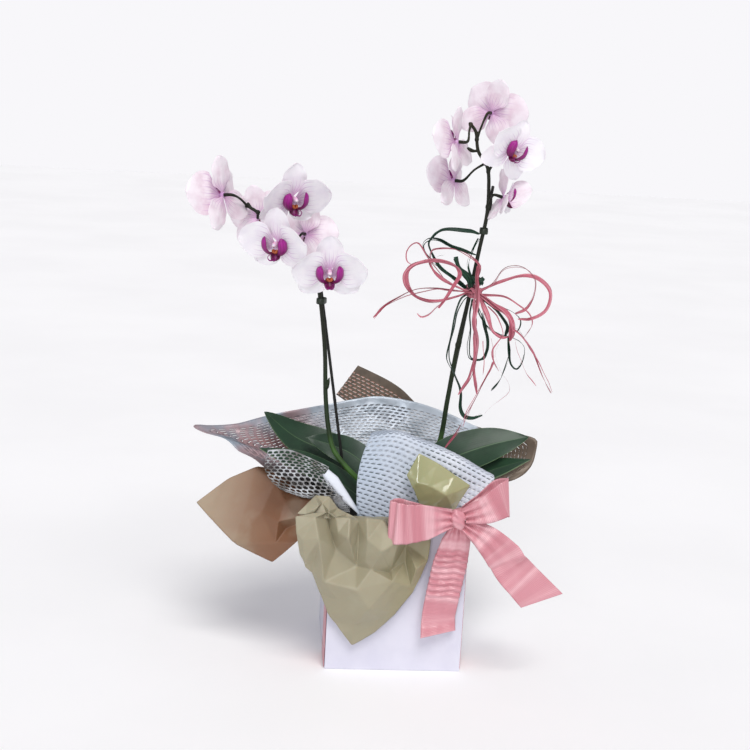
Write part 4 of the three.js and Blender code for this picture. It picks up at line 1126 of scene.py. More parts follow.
class OrchidSpikes(bpy.types.Operator):
    """Builds the two flower spikes with their nodes, pedicels and end buds, the stakes and the clips"""

    bl_idname = "orchid.flower_spikes"
    bl_label = "Flower spikes"

    def execute(self, context):
        skin, bamboo = stalk_skin(), dyed_bamboo()
        # moulded polyethylene: dark green, soft gloss, faint flow marks
        plastic = grainy("moulded_polyethylene", colours().clip, "#10190E", 4, 4, 0.1, 0.3, Roughness=0.45)
        for side, spike in SPIKES.items():
            stem = spline(spike["stem"])(np.linspace(0, 1, 300))
            parts = [rod(spike["stem"], STEM_RADII, 160, 16, end=0.9)]
            parts.append(rod(spike["bud"], BUD_RADII, 16, end=1.2))
            for spot in spike["nodes"]:
                parts.append(ball(spot, NODE_RADII))
                # a small dry bract clasps the stem above each node
                bract = np.array([(0, 0, -2), (1.4, -1.4, 3), (2.6, -2.4, 9)]) + spot
                parts.append(rod(bract, BRACT_RADII, 10, 10))
            for name, f in FLOWERS.items():
                if not name.startswith(side):
                    continue
                back = facing(f) @ (0, 1, 0)
                hub = np.array(f["hub"], float)
                root = stem[np.argmin(np.linalg.norm(stem - f["root"], axis=1))]
                # it meets the flower from straight behind
                lead, neck = hub + back * 11, hub + back * 2
                middle = (root + lead) / 2 + (0, 0, 2)
                parts.append(rod([root, middle, lead, neck], PEDICEL_RADII, 36))
                parts.append(ball(root, JOINT_RADII))
            stalk = mesh_object(f"flower_spike_{side}_stalk", parts, [skin])
            # the joints between stem, nodes and pedicels grow together
            modify(stalk, "REMESH", mode="VOXEL", voxel_size=0.5 * MM, use_smooth_shade=True)
            modify(stalk, "SMOOTH", factor=0.5, iterations=4)
            place(settle(stalk), "stem", f"flower_spike_{side}")
            foot, head = (np.array(p, float) for p in STAKES[side])
            # a bamboo stick, a little thicker at its four knots
            radii = STAKE_RADIUS + STAKE_KNOT * (np.arange(61) % 15 == 7)
            cane = rod([foot, foot + (head - foot) / 3, head], list(radii), 120, 16, end=0.4)
            place(mesh_object(f"stake_{side}_cane", [cane], [bamboo]), "stake", f"stake_{side}")
        for name, (side, stem_spot) in CLIPS.items():
            foot, head = (np.array(p, float) for p in STAKES[side])
            stem_spot = np.array(stem_spot)
            stake_spot = foot + (head - foot) * (stem_spot[2] - foot[2]) / (head[2] - foot[2])
            clip = self.clip(stem_spot, stake_spot)
            place(mesh_object(f"{name}_band", [clip], [plastic]), "clip", name)
        return {"FINISHED"}

    @staticmethod
    def clip(stem_spot, stake_spot):
        """A rounded band, 6 mm tall, that runs round both the stem and the stake."""
        middle = (stem_spot + stake_spot) / 2
        gap = stake_spot - stem_spot
        gap[2] = 0
        half, towards = np.linalg.norm(gap) / 2, unit(gap)
        aside = np.array([-towards[1], towards[0], 0])
        thick, tall, away = CLIP_BAND
        section = [(thick * math.cos(b), tall * math.copysign(abs(math.sin(b)) ** 0.5, math.sin(b)))
                   for b in np.linspace(0, 2 * math.pi, 12, endpoint=False)]
        rings = []
        for a in np.linspace(0, 2 * math.pi, 48, endpoint=False):
            out = towards * math.cos(a) + aside * math.sin(a)
            centre = middle + towards * half * np.sign(round(math.cos(a), 6)) + out * away
            rings.append([centre + out * r + np.array((0, 0, z)) for r, z in section])
        return lofted(rings, loop=True)


# ---------------------------------------------------------------- flowers
SEPAL = {"length": 35.5, "width": 26.5, "claw": 0.14, "cup": 1.5, "arch": 1.0, "y": 1.4, "groove": 0.5}
PETAL = {"length": 37, "width": 39, "claw": 0.1, "cup": 1.6, "arch": 1.0, "y": -0.6, "groove": 0.35}
# Each tepal of a flower: its shape, how far it is swung round the hub, and its lean to the front.
TEPALS = [(SEPAL, 0, -5), (SEPAL, 133, -5), (SEPAL, -133, -5), (PETAL, 72, 18), (PETAL, -72, 18)]
# The lip's side lobe on the right: its middle line, the way its width runs, and its half widths.
SIDE_LOBE = (
    [(1.5, -6.5, -7), (6, -9, -5.5), (9.8, -11, 0.5), (9.8, -10.6, 7.5), (8, -9.6, 12.5)],
    [(-0.8, -0.55, 0.15), (-0.8, -0.6, 0.1), (-0.75, -0.65, 0), (-0.7, -0.7, 0)], [2.2, 3.6, 4.5, 4.3, 1.2],
)
MIDDLE_LOBE = (
    [(0, -5, -4), (0, -9, -8), (0, -12.5, -9.6), (0, -16, -9)],
    [(1, 0, 0), (1, 0, 0)], [3.4, 4.8, 3.2, 0.6],
)
TENDRIL = [(0.6, -15.4, -9), (2.4, -17.4, -8.2), (4.2, -16.6, -5.6), (3.4, -14.6, -4.2), (2.2, -14.8, -5)]
COLUMN = [(0, -1, 1.5), (0, -5, 3.4), (0, -8.6, 3.6)]


def tepal(shape, swing, lean, rng, thickness, open_wide):
    """One tepal as a closed skin: made upright, facing the front, then leant and swung round the hub."""
    s = (1 - np.cos(np.linspace(0, math.pi, 31)))[:, None] / 2
    t = np.sin(np.linspace(-math.pi / 2, math.pi / 2, 23))[None]
    claw, half_width = shape["claw"], shape["width"] / 2
    if shape is PETAL:
        outline = np.sin(math.pi * np.clip(s, 0, 1) ** 0.86) ** 0.56 * np.minimum(1, claw + 3.2 * s)
    else:
        outline = np.sin(math.pi * np.minimum(s * 0.95 + 0.05, 1)) ** 0.5 * np.minimum(1, claw + 2.8 * s)
    outline = np.maximum(outline, np.where(s < 0.3, claw, 0.02))
    # a petal's upper side is the fuller one
    upper = (t < 0) if swing > 0 else (t > 0)
    fuller = 1 + 0.09 * upper if shape is PETAL else 1.0
    across = t * half_width * outline * fuller
    along = 1.4 + shape["length"] * s
    if shape is PETAL:
        along = along + 2.2 * np.abs(t) ** 1.5 * upper * np.sin(math.pi * s)
    turns = rng.uniform(5, 8)
    phase = rng.uniform(0, 6, 2)
    # the rim waves, and the whole tepal is a little twisted and bent
    wave = 0.75 * np.abs(t) ** 3 * np.sin(turns * s * 2 + phase[0] + 2 * np.sign(t))
    wave = wave * np.sin(math.pi * s * 0.85)
    twist, bend = rng.uniform(-1.6, 1.6), rng.uniform(-1.2, 1.6)
    sway = twist * t * s**1.4 + bend * s**2 + 0.4 * np.sin(5 * s + phase[1])
    groove = shape["groove"] * np.exp(-((across / 1.6) ** 2)) * np.sin(math.pi * np.minimum(s * 1.1, 1))
    cup = shape["cup"] * t**2 * (0.3 + 0.7 * s)
    y = shape["y"] - cup + shape["arch"] * s**2 + groove + wave + sway * 0.7
    grid = np.stack([across + 0 * s, y + 0 * t, along + 0 * t], axis=-1)
    thick = thickness / MM * (0.55 + 0.45 * (1 - t**2) * (1 - s**2)) / 2
    normals = grid_normals(grid)
    normals *= np.where(normals[..., 1:2] > 0, -1, 1)
    front, back = grid + normals * thick[..., None], grid - normals * thick[..., None]
    turn = np.array(turn_about(swing, "Y") @ turn_about(lean * open_wide, "X"))
    verts, faces = shell(front @ turn.T, back @ turn.T)
    return verts, faces, 0, two_sided(s, t)


def lobe(line, across, halves, cup, thickness, mirrored=False):
    """A fleshy lobe of the lip: a cupped strap with a rounded outline, as a closed skin."""
    s = (1 - np.cos(np.linspace(0, math.pi, 21))) / 2
    t = np.sin(np.linspace(-math.pi / 2, math.pi / 2, 13))
    centre = spline(line)(s)
    along = unit(np.gradient(centre, axis=0))
    side = between(across, s)
    side = unit(side - np.sum(side * along, axis=1, keepdims=True) * along)
    half = spline(np.array(halves)[:, None] * (1, 0, 0))(s)[:, 0]
    half = half * np.minimum(1, (1 - s) * 9 + 0.12) ** 0.5
    up = np.cross(side, along)
    grid = centre[:, None] + (half[:, None] * t)[..., None] * side[:, None]
    grid = grid + (cup * half[:, None] * (t**2 - 0.5))[..., None] * up[:, None]
    normals = grid_normals(grid)
    thick = thickness * (0.6 + 0.4 * (1 - t**2))[None, :, None] / 2
    verts, faces = shell(grid + normals * thick, grid - normals * thick)
    if mirrored:
        verts = verts * (-1, 1, 1)
        faces = [tuple(reversed(f)) for f in faces]
    return verts, faces, 0, two_sided(s[:, None], t[None])


def marked(part, number, **fields):
    """A part with a material number, and with one value for each attribute all over it."""
    return part[0], part[1], number, {key: np.full(len(part[0]), value) for key, value in fields.items()}


class OrchidFlowers(bpy.types.Operator):
    """Builds the eleven flowers: five tepals each, and the lip with its callus and column"""

    bl_idname = "orchid.flowers"
    bl_label = "Flowers"

    def execute(self, context):
        petal = petal_tissue()
        fleshy = [lip_tissue(), callus_tissue(), column_tissue()]
        thickness = sizes().petal_thickness
        for seed, (name, f) in enumerate(FLOWERS.items()):
            rng = np.random.default_rng(40 + seed)
            # the lowest flower on the right is still opening: its tepals lean further to the front
            open_wide = 2.2 if name == "right_5" else 1.0
            parts = [tepal(*kind, rng, thickness, open_wide) for kind in TEPALS]
            parts.append(marked(ball((0, 0.5, 0), (3.2, 2.7, 3.2)), 0, side=1.0, along=0.0))
            parts = [(flower_place(p[0], f), *p[1:]) for p in parts]
            place(mesh_object(f"petals_{name}", parts, [petal]), "petal", f"flower_{name}_tepals")
            parts = [lobe(*SIDE_LOBE, 0.5, 1.2), lobe(*SIDE_LOBE, 0.5, 1.2, mirrored=True)]
            middle = lobe(*MIDDLE_LOBE, 0.5, 1.4)
            middle[3]["along"] *= 0.35
            parts.append(middle)
            for sign in (-1, 1):
                tendril = rod(np.array(TENDRIL) * (sign, 1, 1), [0.7, 0.5, 0.35, 0.3], 24, 8)
                parts.append(marked(tendril, 0, along=0.9))
                parts.append(marked(ball((1.7 * sign, -8.2, -3.2), (1.7, 2.2, 2.0)), 1, across=0.15))
            parts.append(marked(ball((0, -7.6, -4.4), (2.6, 2.2, 1.6)), 1, across=0.0))
            column = rod(COLUMN, [1.9, 2.1, 2.5], 20, 18, end=0.8)
            parts.append((*column, 2, {"along": np.clip((-column[0][:, 1] - 1) / 11, 0, 0.85)}))
            # the pale cap at the column's tip, and under it a dark lump of lip tissue that paints the shade
            # in the hollow there
            parts.append(marked(ball((0, -9.8, 4.0), (1.9, 1.3, 1.5)), 2, along=1.0))
            parts.append(marked(ball((0, -9.6, 2.1), (1.2, 0.9, 0.9)), 0, along=0.12))
            parts = [(flower_place(p[0], f), *p[1:]) for p in parts]
            place(mesh_object(f"lip_{name}", parts, fleshy), "lip", f"flower_{name}_lip")
        return {"FINISHED"}


# ---------------------------------------------------------------- floral papers
# The front drape. Its outline runs from the upper left corner down to the tip, up the right-hand edge and
# over the box's rim: x, y, z and, for the part tucked into the box, its two measures in the flat sheet.
DRAPE_OUTLINE = [
    (-104, -90, 164), (-103, -96, 151), (-98, -91, 128), (-92, -86, 112), (-85, -83, 106), (-76, -79, 84),
    (-67, -77, 61), (-42, -75, 28), (-21, -77, 43), (0, -80, 66), (13, -84, 87), (21, -85, 106),
    (27, -84, 122), (29, -80, 139), (28, -78, 163), (6, -66, 158.5, 6, 172), (4, -63.8, 148, 4, 186),
    (2, -63, 122, 2, 212), (-28, -63, 122, -28, 212), (-58, -63, 122, -58, 212),
    (-60, -63.8, 148, -60, 186), (-62, -66, 158.5, -62, 174), (-73, -88, 169), (-87, -90, 168),
]
# Its creases: crests and valleys as lines, and single points.
DRAPE_FOLDS = [
    [(-72, -76, 163), (-70, -80, 149), (-63, -83, 130)], [(-85, -95, 165), (-81, -102, 146),
    (-74, -92, 100)], [(-81, -102, 146), (-63, -83, 130), (-53, -101, 148), (-42, -81, 113),
    (-29, -93, 114), (-21, -104, 136), (-10, -84, 108)], [(-52, -90, 164), (-53, -101, 148)],
    [(-43, -81, 159), (-42, -83, 136), (-42, -81, 113)], [(-35, -89, 164), (-34, -94, 144),
    (-35, -91, 122)], [(-42, -81, 113), (-43, -101, 96), (-29, -99, 76), (-8, -95, 103), (-10, -84, 108)],
    [(-20, -86, 162), (-6, -101, 145), (-8, -84, 111)], [(5, -80, 136), (5, -80, 119), (14, -98, 117)],
    [(-96, -97, 143), (-93, -93, 121)], [(-65, -88, 163), (-62, -92, 150)], [(-59, -88, 80), (-42, -84, 54),
    (-17, -86, 61)], (11, -88, 96), (-46, -66, 158.5, -46, 172), (-29, -66, 158.5, -29, 172),
    (-12, -66, 158.5, -12, 172), (-44, -63.8, 148, -44, 186), (-28, -63.8, 148, -28, 186),
    (-12, -63.8, 148, -12, 186),
]
# A fold of the same sheet that stands up behind the drape's upper left corner.
FOLD_OUTLINE = [
    (-102, -86, 166), (-93, -80, 174), (-85, -74, 181), (-71, -70, 179), (-62, -72, 168), (-53, -74, 164),
    (-44, -76, 160), (-56, -80, 160), (-72, -84, 161), (-90, -86, 161),
]
FOLD_FOLDS = [(-82, -89, 175), (-94, -88, 166), (-72, -84, 169), (-60, -82, 164), (-78, -76, 174)]
# The drape at the left: its outline from the outer tip round the bottom, through the box and back.
LEFT_OUTLINE = [
    (-201, -22, 154), (-184, -28, 137), (-162, -36, 117), (-123, -46, 102), (-112, -52, 114),
    (-101, -58, 127), (-75, -55, 158, -92, 134), (-66, -57, 159, -84, 135), (-63.9, -58, 148, -73, 135),
    (-63.8, -58, 126, -51, 135), (-63.8, -18, 126, -45, 165), (-63.8, 22, 126, -39, 193),
    (-63.9, 22, 148, -61, 192), (-66, 21, 159, -70, 190), (-79, 13, 165, -81, 194), (-104, -2, 184),
    (-143, -12, 190), (-169, -16, 179),
]
LEFT_FOLDS = [
    (-150, -27, 158), (-135, -34, 150), (-121, -52, 124), (-119, -51, 146), (-111, -42, 136),
    (-113, -42, 163), (-99, -38, 166), (-103, -50, 150), (-122, -24, 178), (-78, -38, 164, -92, 152),
    (-79, -18, 166, -89, 168), (-79, -2, 167, -85, 182), (-66, -36, 159, -80, 150),
    (-66, -14, 159, -76, 165), (-66, 5, 159, -73, 178), (-63.9, -36, 148, -69, 150),
    (-63.9, -14, 148, -65, 165), (-63.9, 5, 148, -62, 178),
]
# The upright piece behind the bow.
UPRIGHT_OUTLINE = [
    (13, -72, 226), (2, -74, 204), (9, -76, 191), (14, -74, 180), (19, -70, 166), (22, -64.2, 156),
    (22, -63.6, 128), (46, -63.6, 128), (46, -64.2, 156), (50, -68, 164), (56, -73, 179), (65, -72, 195),
    (50, -73, 205), (32, -74, 217),
]
UPRIGHT_FOLDS = [
    (12, -79, 198), (24, -81, 196), (40, -84, 188), (32, -78, 178), (46, -78, 178), (52, -78, 190),
]


def creased_sheet(outline, folds):
    """Vertices and triangles of a sheet that is flat between its folds. A fold is a point or a line of
    points; a point is x, y, z and, where the sheet doesn't face the front, its place in the flat sheet."""
    lines = [fold if isinstance(fold, list) else [fold] for fold in folds]
    points = outline + sum(lines, [])
    flat = [Vector((p[-2], p[-1]) if len(p) == 5 else (p[0], p[2])) for p in points]
    rim = list(range(len(outline)))
    edges = list(zip(rim, rim[1:] + rim[:1]))
    start = len(rim)
    for line in lines:
        edges += [(start + k, start + k + 1) for k in range(len(line) - 1)]
        start += len(line)
    found, _, faces, origins, _, _ = delaunay_2d_cdt(flat, edges, [], 1, 1e-4)
    verts = [points[origins[k][0]][:3] for k in range(len(found))]
    return np.array(verts, float), [tuple(f) for f in faces]


def crumpled(thing, pitch_mm, height_mm, seed):
    """Moves a mesh's points along their normals by the heights of a crumpled sheet."""
    mesh = thing.data
    spots = np.zeros(3 * len(mesh.vertices))
    mesh.vertices.foreach_get("co", spots)
    normals = np.zeros(3 * len(mesh.vertices))
    mesh.vertex_normals.foreach_get("vector", normals)
    spots, normals = spots.reshape(-1, 3), normals.reshape(-1, 3)
    a = (spots[:, 0] + 0.6 * spots[:, 1]) / (pitch_mm * MM)
    b = (spots[:, 2] - 0.5 * spots[:, 1]) / (pitch_mm * MM)
    rise = height_mm * MM * crumple(a + 50, b + 50, seed)
    mesh.vertices.foreach_set("co", (spots + normals * rise[:, None]).ravel())
    mesh.update()
    return thing


class OrchidFloralPapers(bpy.types.Operator):
    """Builds the floral papers: the drape over the front rim, the one at the left and the upright piece"""

    bl_idname = "orchid.floral_papers"
    bl_label = "Floral papers"

    def execute(self, context):
        # painted shade darkens the olive drape to the right and the tan drape towards the box; painted light
        # lightens the film to the right
        olive = floral_paper("olive_floral_paper", colours().olive, "#8F8767", -20, 40, Roughness=0.45)
        tan = floral_paper("tan_floral_paper", "#9C8A73", colours().tan, -190, -105, Roughness=0.5)
        film = floral_paper(
            "olive_floral_film", "#8F9166", "#A2A178", 0, 60, Roughness=0.22, Coat_Weight=0.6,
            Coat_Roughness=0.08,
        )
        # name, outline, folds, paper, size and height of the small creases, seed, node
        for name, outline, folds, paper, size, height, seed, nodes in (
            ("paper_front_drape", DRAPE_OUTLINE, DRAPE_FOLDS, olive, 17, 0.7, 5, ["tissue_front"]),
            ("paper_front_fold", FOLD_OUTLINE, FOLD_FOLDS, olive, 12, 0.6, 2, []),
            ("paper_left_drape", LEFT_OUTLINE, LEFT_FOLDS, tan, 24, 0.7, 3, ["tissue_left"]),
            ("paper_upright", UPRIGHT_OUTLINE, UPRIGHT_FOLDS, film, 14, 0.6, 6, ["tissue_upright"]),
        ):
            sheet = mesh_object(name, [creased_sheet(outline, folds)], [paper])
            modify(sheet, "SUBSURF", subdivision_type="SIMPLE", levels=4, render_levels=4)
            modify(sheet, "SMOOTH", factor=0.5, iterations=3)
            sheet = settle(sheet)
            crumpled(sheet, size, height, seed)
            crumpled(sheet, size / 3, height / 4, seed + 1)
            self.finish(sheet, *nodes)
        # the flat cuts are pointed, so each covers only a part of its rectangle
        return {"FINISHED"}

    @staticmethod
    def finish(sheet, *nodes):
        modify(sheet, "SOLIDIFY", thickness=sizes().paper_thickness, offset=0.0)
        return place(settle(sheet), "tissue", *nodes)


# ---------------------------------------------------------------- die-cut papers
# Each station of the collar: its foot in the box, at the rim, half way out and at the free edge; the
# stations run from the left front round the back to the right.
COLLAR = [
    [(-61.5, -46, 124), (-62.5, -47, 166), (-74, -49, 172), (-88, -50, 177)],
    [(-61.5, -24, 124), (-62.8, -26, 166), (-88, -36, 182), (-113, -42, 186)],
    [(-61.5, -4, 124), (-62.8, -4, 166), (-104, -14, 190), (-146, -20, 200)],
    [(-61.5, 10, 124), (-62.8, 10, 166), (-118, 4, 196), (-176, 4, 211)],
    [(-61.5, 21, 124), (-62.8, 21, 166), (-130, 18, 198), (-207, 18, 221)],
    [(-61.5, 25, 124), (-62.8, 25, 166), (-130, 22, 199), (-207, 20, 222)],
    [(-61.5, 32, 124), (-62.8, 32, 166), (-118, 34, 200), (-168, 34, 221)],
    [(-61.5, 38, 124), (-62.8, 38, 166), (-104, 44, 202), (-136, 46, 228)],
    [(-60, 52, 124), (-61, 54, 166), (-84, 60, 202), (-99, 62, 233)],
    [(-48, 61, 124), (-49, 63, 166), (-60, 72, 204), (-67, 78, 236)],
    [(-28, 62, 124), (-29, 63, 166), (-38, 74, 206), (-49, 80, 240)],
    [(-10, 62, 124), (-10, 63, 166), (-13, 73, 206), (-17, 82, 245)],
    [(14, 62, 124), (14, 63, 166), (20, 73, 202), (23, 80, 241)],
    [(36, 62, 124), (37, 63, 166), (48, 70, 200), (58, 78, 231)],
    [(54, 58, 124), (56, 60, 166), (74, 62, 194), (94, 65, 219)],
    [(60.5, 50, 124), (61.8, 52, 166), (98, 54, 193), (134, 50, 217)],
    [(61.5, 44, 124), (62.8, 46, 166), (104, 46, 190), (150, 41, 214)],
    [(61.5, 42, 124), (62.8, 44, 166), (104, 43, 189), (150, 38, 211)],
    [(61.5, 26, 124), (62.8, 26, 166), (100, 24, 180), (141, 20, 188)],
    [(61.5, 8, 124), (62.8, 8, 166), (82, 6, 172), (104, 4, 176)],
]
# The corner sheet that stands behind the collar, from its lower left edge to its upper right one.
CORNER_SHEET = [
    [(-60, 88, 244), (-45, 85, 235), (-29, 82, 227), (-13, 84, 220), (5, 84, 210)],
    [(-49, 92, 259), (-33, 89, 252), (-16, 86, 244), (0, 87, 236), (17, 88, 225)],
    [(-38, 95, 275), (-21, 93, 268), (-3, 90, 260), (11, 90, 251), (25, 90, 238)],
]
# The flap and the rolled corner: rows from the foot in the box to the free edge, which rolls over.
FLAP = [
    [(-42, -60, 150), (-16, -60.4, 138), (10, -60.6, 126), (34, -60.4, 114), (56, -59, 102)],
    [(-44, -60, 172), (-15, -61, 162), (12, -61, 150), (36, -60.8, 138), (60, -58.5, 126)],
    [(-44, -57, 196), (-17, -59.5, 190), (12, -60.5, 178), (38, -60, 164), (66, -57.5, 152)],
    [(-40, -52, 216), (-13, -55, 215), (14, -57, 204), (43, -57, 190), (79, -54, 174)],
    [(-33, -47, 235), (-8, -50, 239), (18, -52, 231), (50, -52, 219), (92, -50, 197)],
    [(-32, -43, 237), (-7, -46, 241), (19, -48, 233), (50, -48, 221), (90, -46, 199)],
    [(-32, -40, 233), (-7, -43, 236), (19, -45, 228), (49, -45, 216), (87, -44, 195)],
]
CURL = [
    [(-58, -60, 128), (-57, -60.4, 128), (-55, -60.6, 128), (-52, -60.6, 128)],
    [(-60, -60.6, 162), (-57, -61.4, 162), (-54, -61.8, 162), (-50, -61.8, 162)],
    [(-84, -62, 178), (-74, -66, 176), (-64, -66, 174), (-52, -62, 174)],
    [(-118, -62, 182), (-98, -68, 178), (-80, -70, 178), (-62, -66, 180)],
    [(-134, -58, 200), (-112, -58, 200), (-92, -58, 200), (-74, -60, 196)],
    [(-132, -50, 218), (-112, -50, 219), (-92, -50, 212), (-72, -54, 204)],
]
# The rolled corner's smooth edge, which runs to a point: its line, its width's direction and its widths.
CURL_EDGE = (
    [(-76, -61, 199), (-68, -63, 190), (-56, -65, 176), (-41, -66, 160)],
    [(0.8, 0, 0.6), (0.8, 0, 0.6)],
    [8, 13, 9, 2],
)


# Cells along and out across a sheet before its slits are cut, and the pitch of its wrinkles in millimetres.
SHEET_CELLS, WRINKLE_PITCH = (160, 60), 19


class OrchidDieCutPapers(bpy.types.Operator):
    """Builds the die-cut papers: the collar with its corner sheet, the flap and the rolled corner"""

    bl_idname = "orchid.die_cut_papers"
    bl_label = "Die-cut papers"

    def execute(self, context):
        silver, kraft, white = silver_paper(), kraft_paper(), white_paper()
        # the rolled corner's grey side, clouded with dark patches of painted shade
        grey = grainy("scuffed_paper", "#B9BDC1", "#4E4A46", 12, 1.5, 0.3, 0.5, Roughness=0.5)
        slits = slit_tree()
        corner, flap, curl = ([list(row) for row in zip(*rows)] for rows in (CORNER_SHEET, FLAP, CURL))
        # name, stations, what its bright side looks at, slit opening, wrinkles and border in millimetres,
        # papers, nodes, how it is held, and its flat cut in metres before the slits were pulled open
        for name, *facts, held, flat in (
            ("die_cut_collar", COLLAR, (0, -60, 260), 0.12, 3.0, 8, (silver, kraft), ["honeycomb_back"],
             "draped", (0.42, 0.11)),
            ("die_cut_corner", corner, (0, -200, 300), 0.07, 0.8, 8, (kraft, kraft), [],
             "folded", (0.075, 0.038)),
            ("die_cut_flap", flap, (0, -400, 200), 0.14, 0.6, 9, (white, white), ["honeycomb_flap"],
             "folded", (0.13, 0.105)),
            ("die_cut_curl", curl, (-60, -400, 300), 0.78, 0.4, 1.5, (grey, kraft), ["honeycomb_curl"],
             "folded", (0.06, 0.044)),
        ):
            self.sheet(slits, name, *facts)
        edge, _ = strap(*CURL_EDGE, 40, 8)
        cupped = edge + np.linspace(-1, 1, 9)[None, :, None] ** 2 * (0, 3.0, 1.2)
        edge = mesh_object("die_cut_curl_edge", [grid_mesh(cupped)], [white])
        modify(edge, "SOLIDIFY", thickness=sizes().paper_thickness, offset=0.0)
        place(settle(edge), "honeycomb")
        return {"FINISHED"}

    @staticmethod
    def sheet(slits, name, stations, towards, opening, wrinkle, border, papers, nodes):
        own = sizes()
        grid, wide, tall = net(stations, *SHEET_CELLS)
        facing_in = np.sum(grid_normals(grid) * (np.array(towards) - grid), axis=-1).mean()
        if facing_in < 0:
            grid = grid[::-1]
        u, v = np.meshgrid(*(np.linspace(0, 1, cells + 1) for cells in SHEET_CELLS), indexing="ij")
        # wrinkles grow from the box's rim to the free edge
        a, b = u * wide / WRINKLE_PITCH, v * tall / WRINKLE_PITCH
        rise = crumple(a, b, 7) + 0.4 * crumple(2.3 * a, 2.3 * b, 9)
        rise = wrinkle * np.clip(v * 2.2 - 0.7, 0, 1) * rise
        grid = grid + rise[..., None] * grid_normals(grid)
        sheet = mesh_object(name, [grid_mesh(grid)], [])
        set_uv(sheet, np.stack([u.ravel(), v.ravel()], 1))
        border = border / tall
        cell = slit_cell(opening)
        run_tree(
            sheet, slits, papers[0], Cell=cell, Columns=round(wide * MM / own.slit_length),
            Rows=round(tall * MM * (1 - border) / own.slit_rows),
            Relief=own.slit_relief * min(1, 0.3 + opening), Border=border,
        )
        sheet = settle(sheet)
        bpy.data.objects.remove(cell)
        sheet.data.materials.append(papers[1])
        modify(sheet, "SOLIDIFY", thickness=own.paper_thickness, material_offset=1, offset=-1.0)
        return place(settle(sheet), "honeycomb", *nodes)


# ---------------------------------------------------------------- ribbon
# Each length of ribbon: its middle line, the way its width runs along it, and its widths.
RIBBONS = {
    "ribbon_loop_left": ([(46, -100, 169), (22, -106, 167), (-4, -104, 164), (-14, -97, 164),
        (-4, -89, 165), (20, -90, 167), (46, -94, 169)], [(0, 0, 1), (0, 0, 1)],
        [16, 34, 41, 42, 41, 24, 15]),
    "ribbon_loop_right": ([(57, -99, 172), (76, -106, 180), (94, -102, 190), (99, -95, 191), (92, -88, 190),
        (76, -89, 182), (57, -94, 174)], [(-0.3, 0, 1), (-0.1, 0, 1), (-0.3, 0, 1)],
        [15, 26, 36, 39, 34, 24, 15]),
    "ribbon_tail_front": ([(52, -96, 162), (52, -91, 146), (49, -83, 120), (45, -78, 88), (42, -75, 60),
        (42, -76, 50), (42, -80, 44)], [(1, 0, 0.1), (1, 0, 0.05), (1, 0.1, -0.05), (1, 0, -0.25)],
        [14, 28, 34, 34, 34, 35, 36]),
    "ribbon_tail_right": ([(57, -97, 164), (78, -102, 152), (97, -103, 134), (106, -101, 122),
        (121, -99, 106), (139, -97, 88)], [(0.4, 0, 1), (0.6, 0, 0.8), (0.5, -0.3, 0.7), (0.7, 0.2, 0.6),
        (0.6, 0, 0.6)], [13, 26, 36, 36, 37, 39]),
    "ribbon_band_left": ([(-68.3, -46, 152), (-68.3, -46, 100), (-68.3, -46, 50), (-68.3, -46, 1)],
        [(0, 1, 0), (0, 1, 0)], [38, 38]),
    "ribbon_band_right": ([(68.3, -44, 152), (68.3, -44, 100), (68.3, -44, 50), (68.3, -44, 1)], [(0, 1, 0),
        (0, 1, 0)], [38, 38]),
}
KNOT = (51, -97, 169)
FULL_WIDTH = 38
# The pleats by the knot: their depth in millimetres, how many there are in half a width, and their phase.
PLEATS = (3.6, 1.4, 0.6)
# The front tail is wrinkled across between these places along it, in millimetres, at this pitch.
WRINKLES = (26, 92, 6.6)


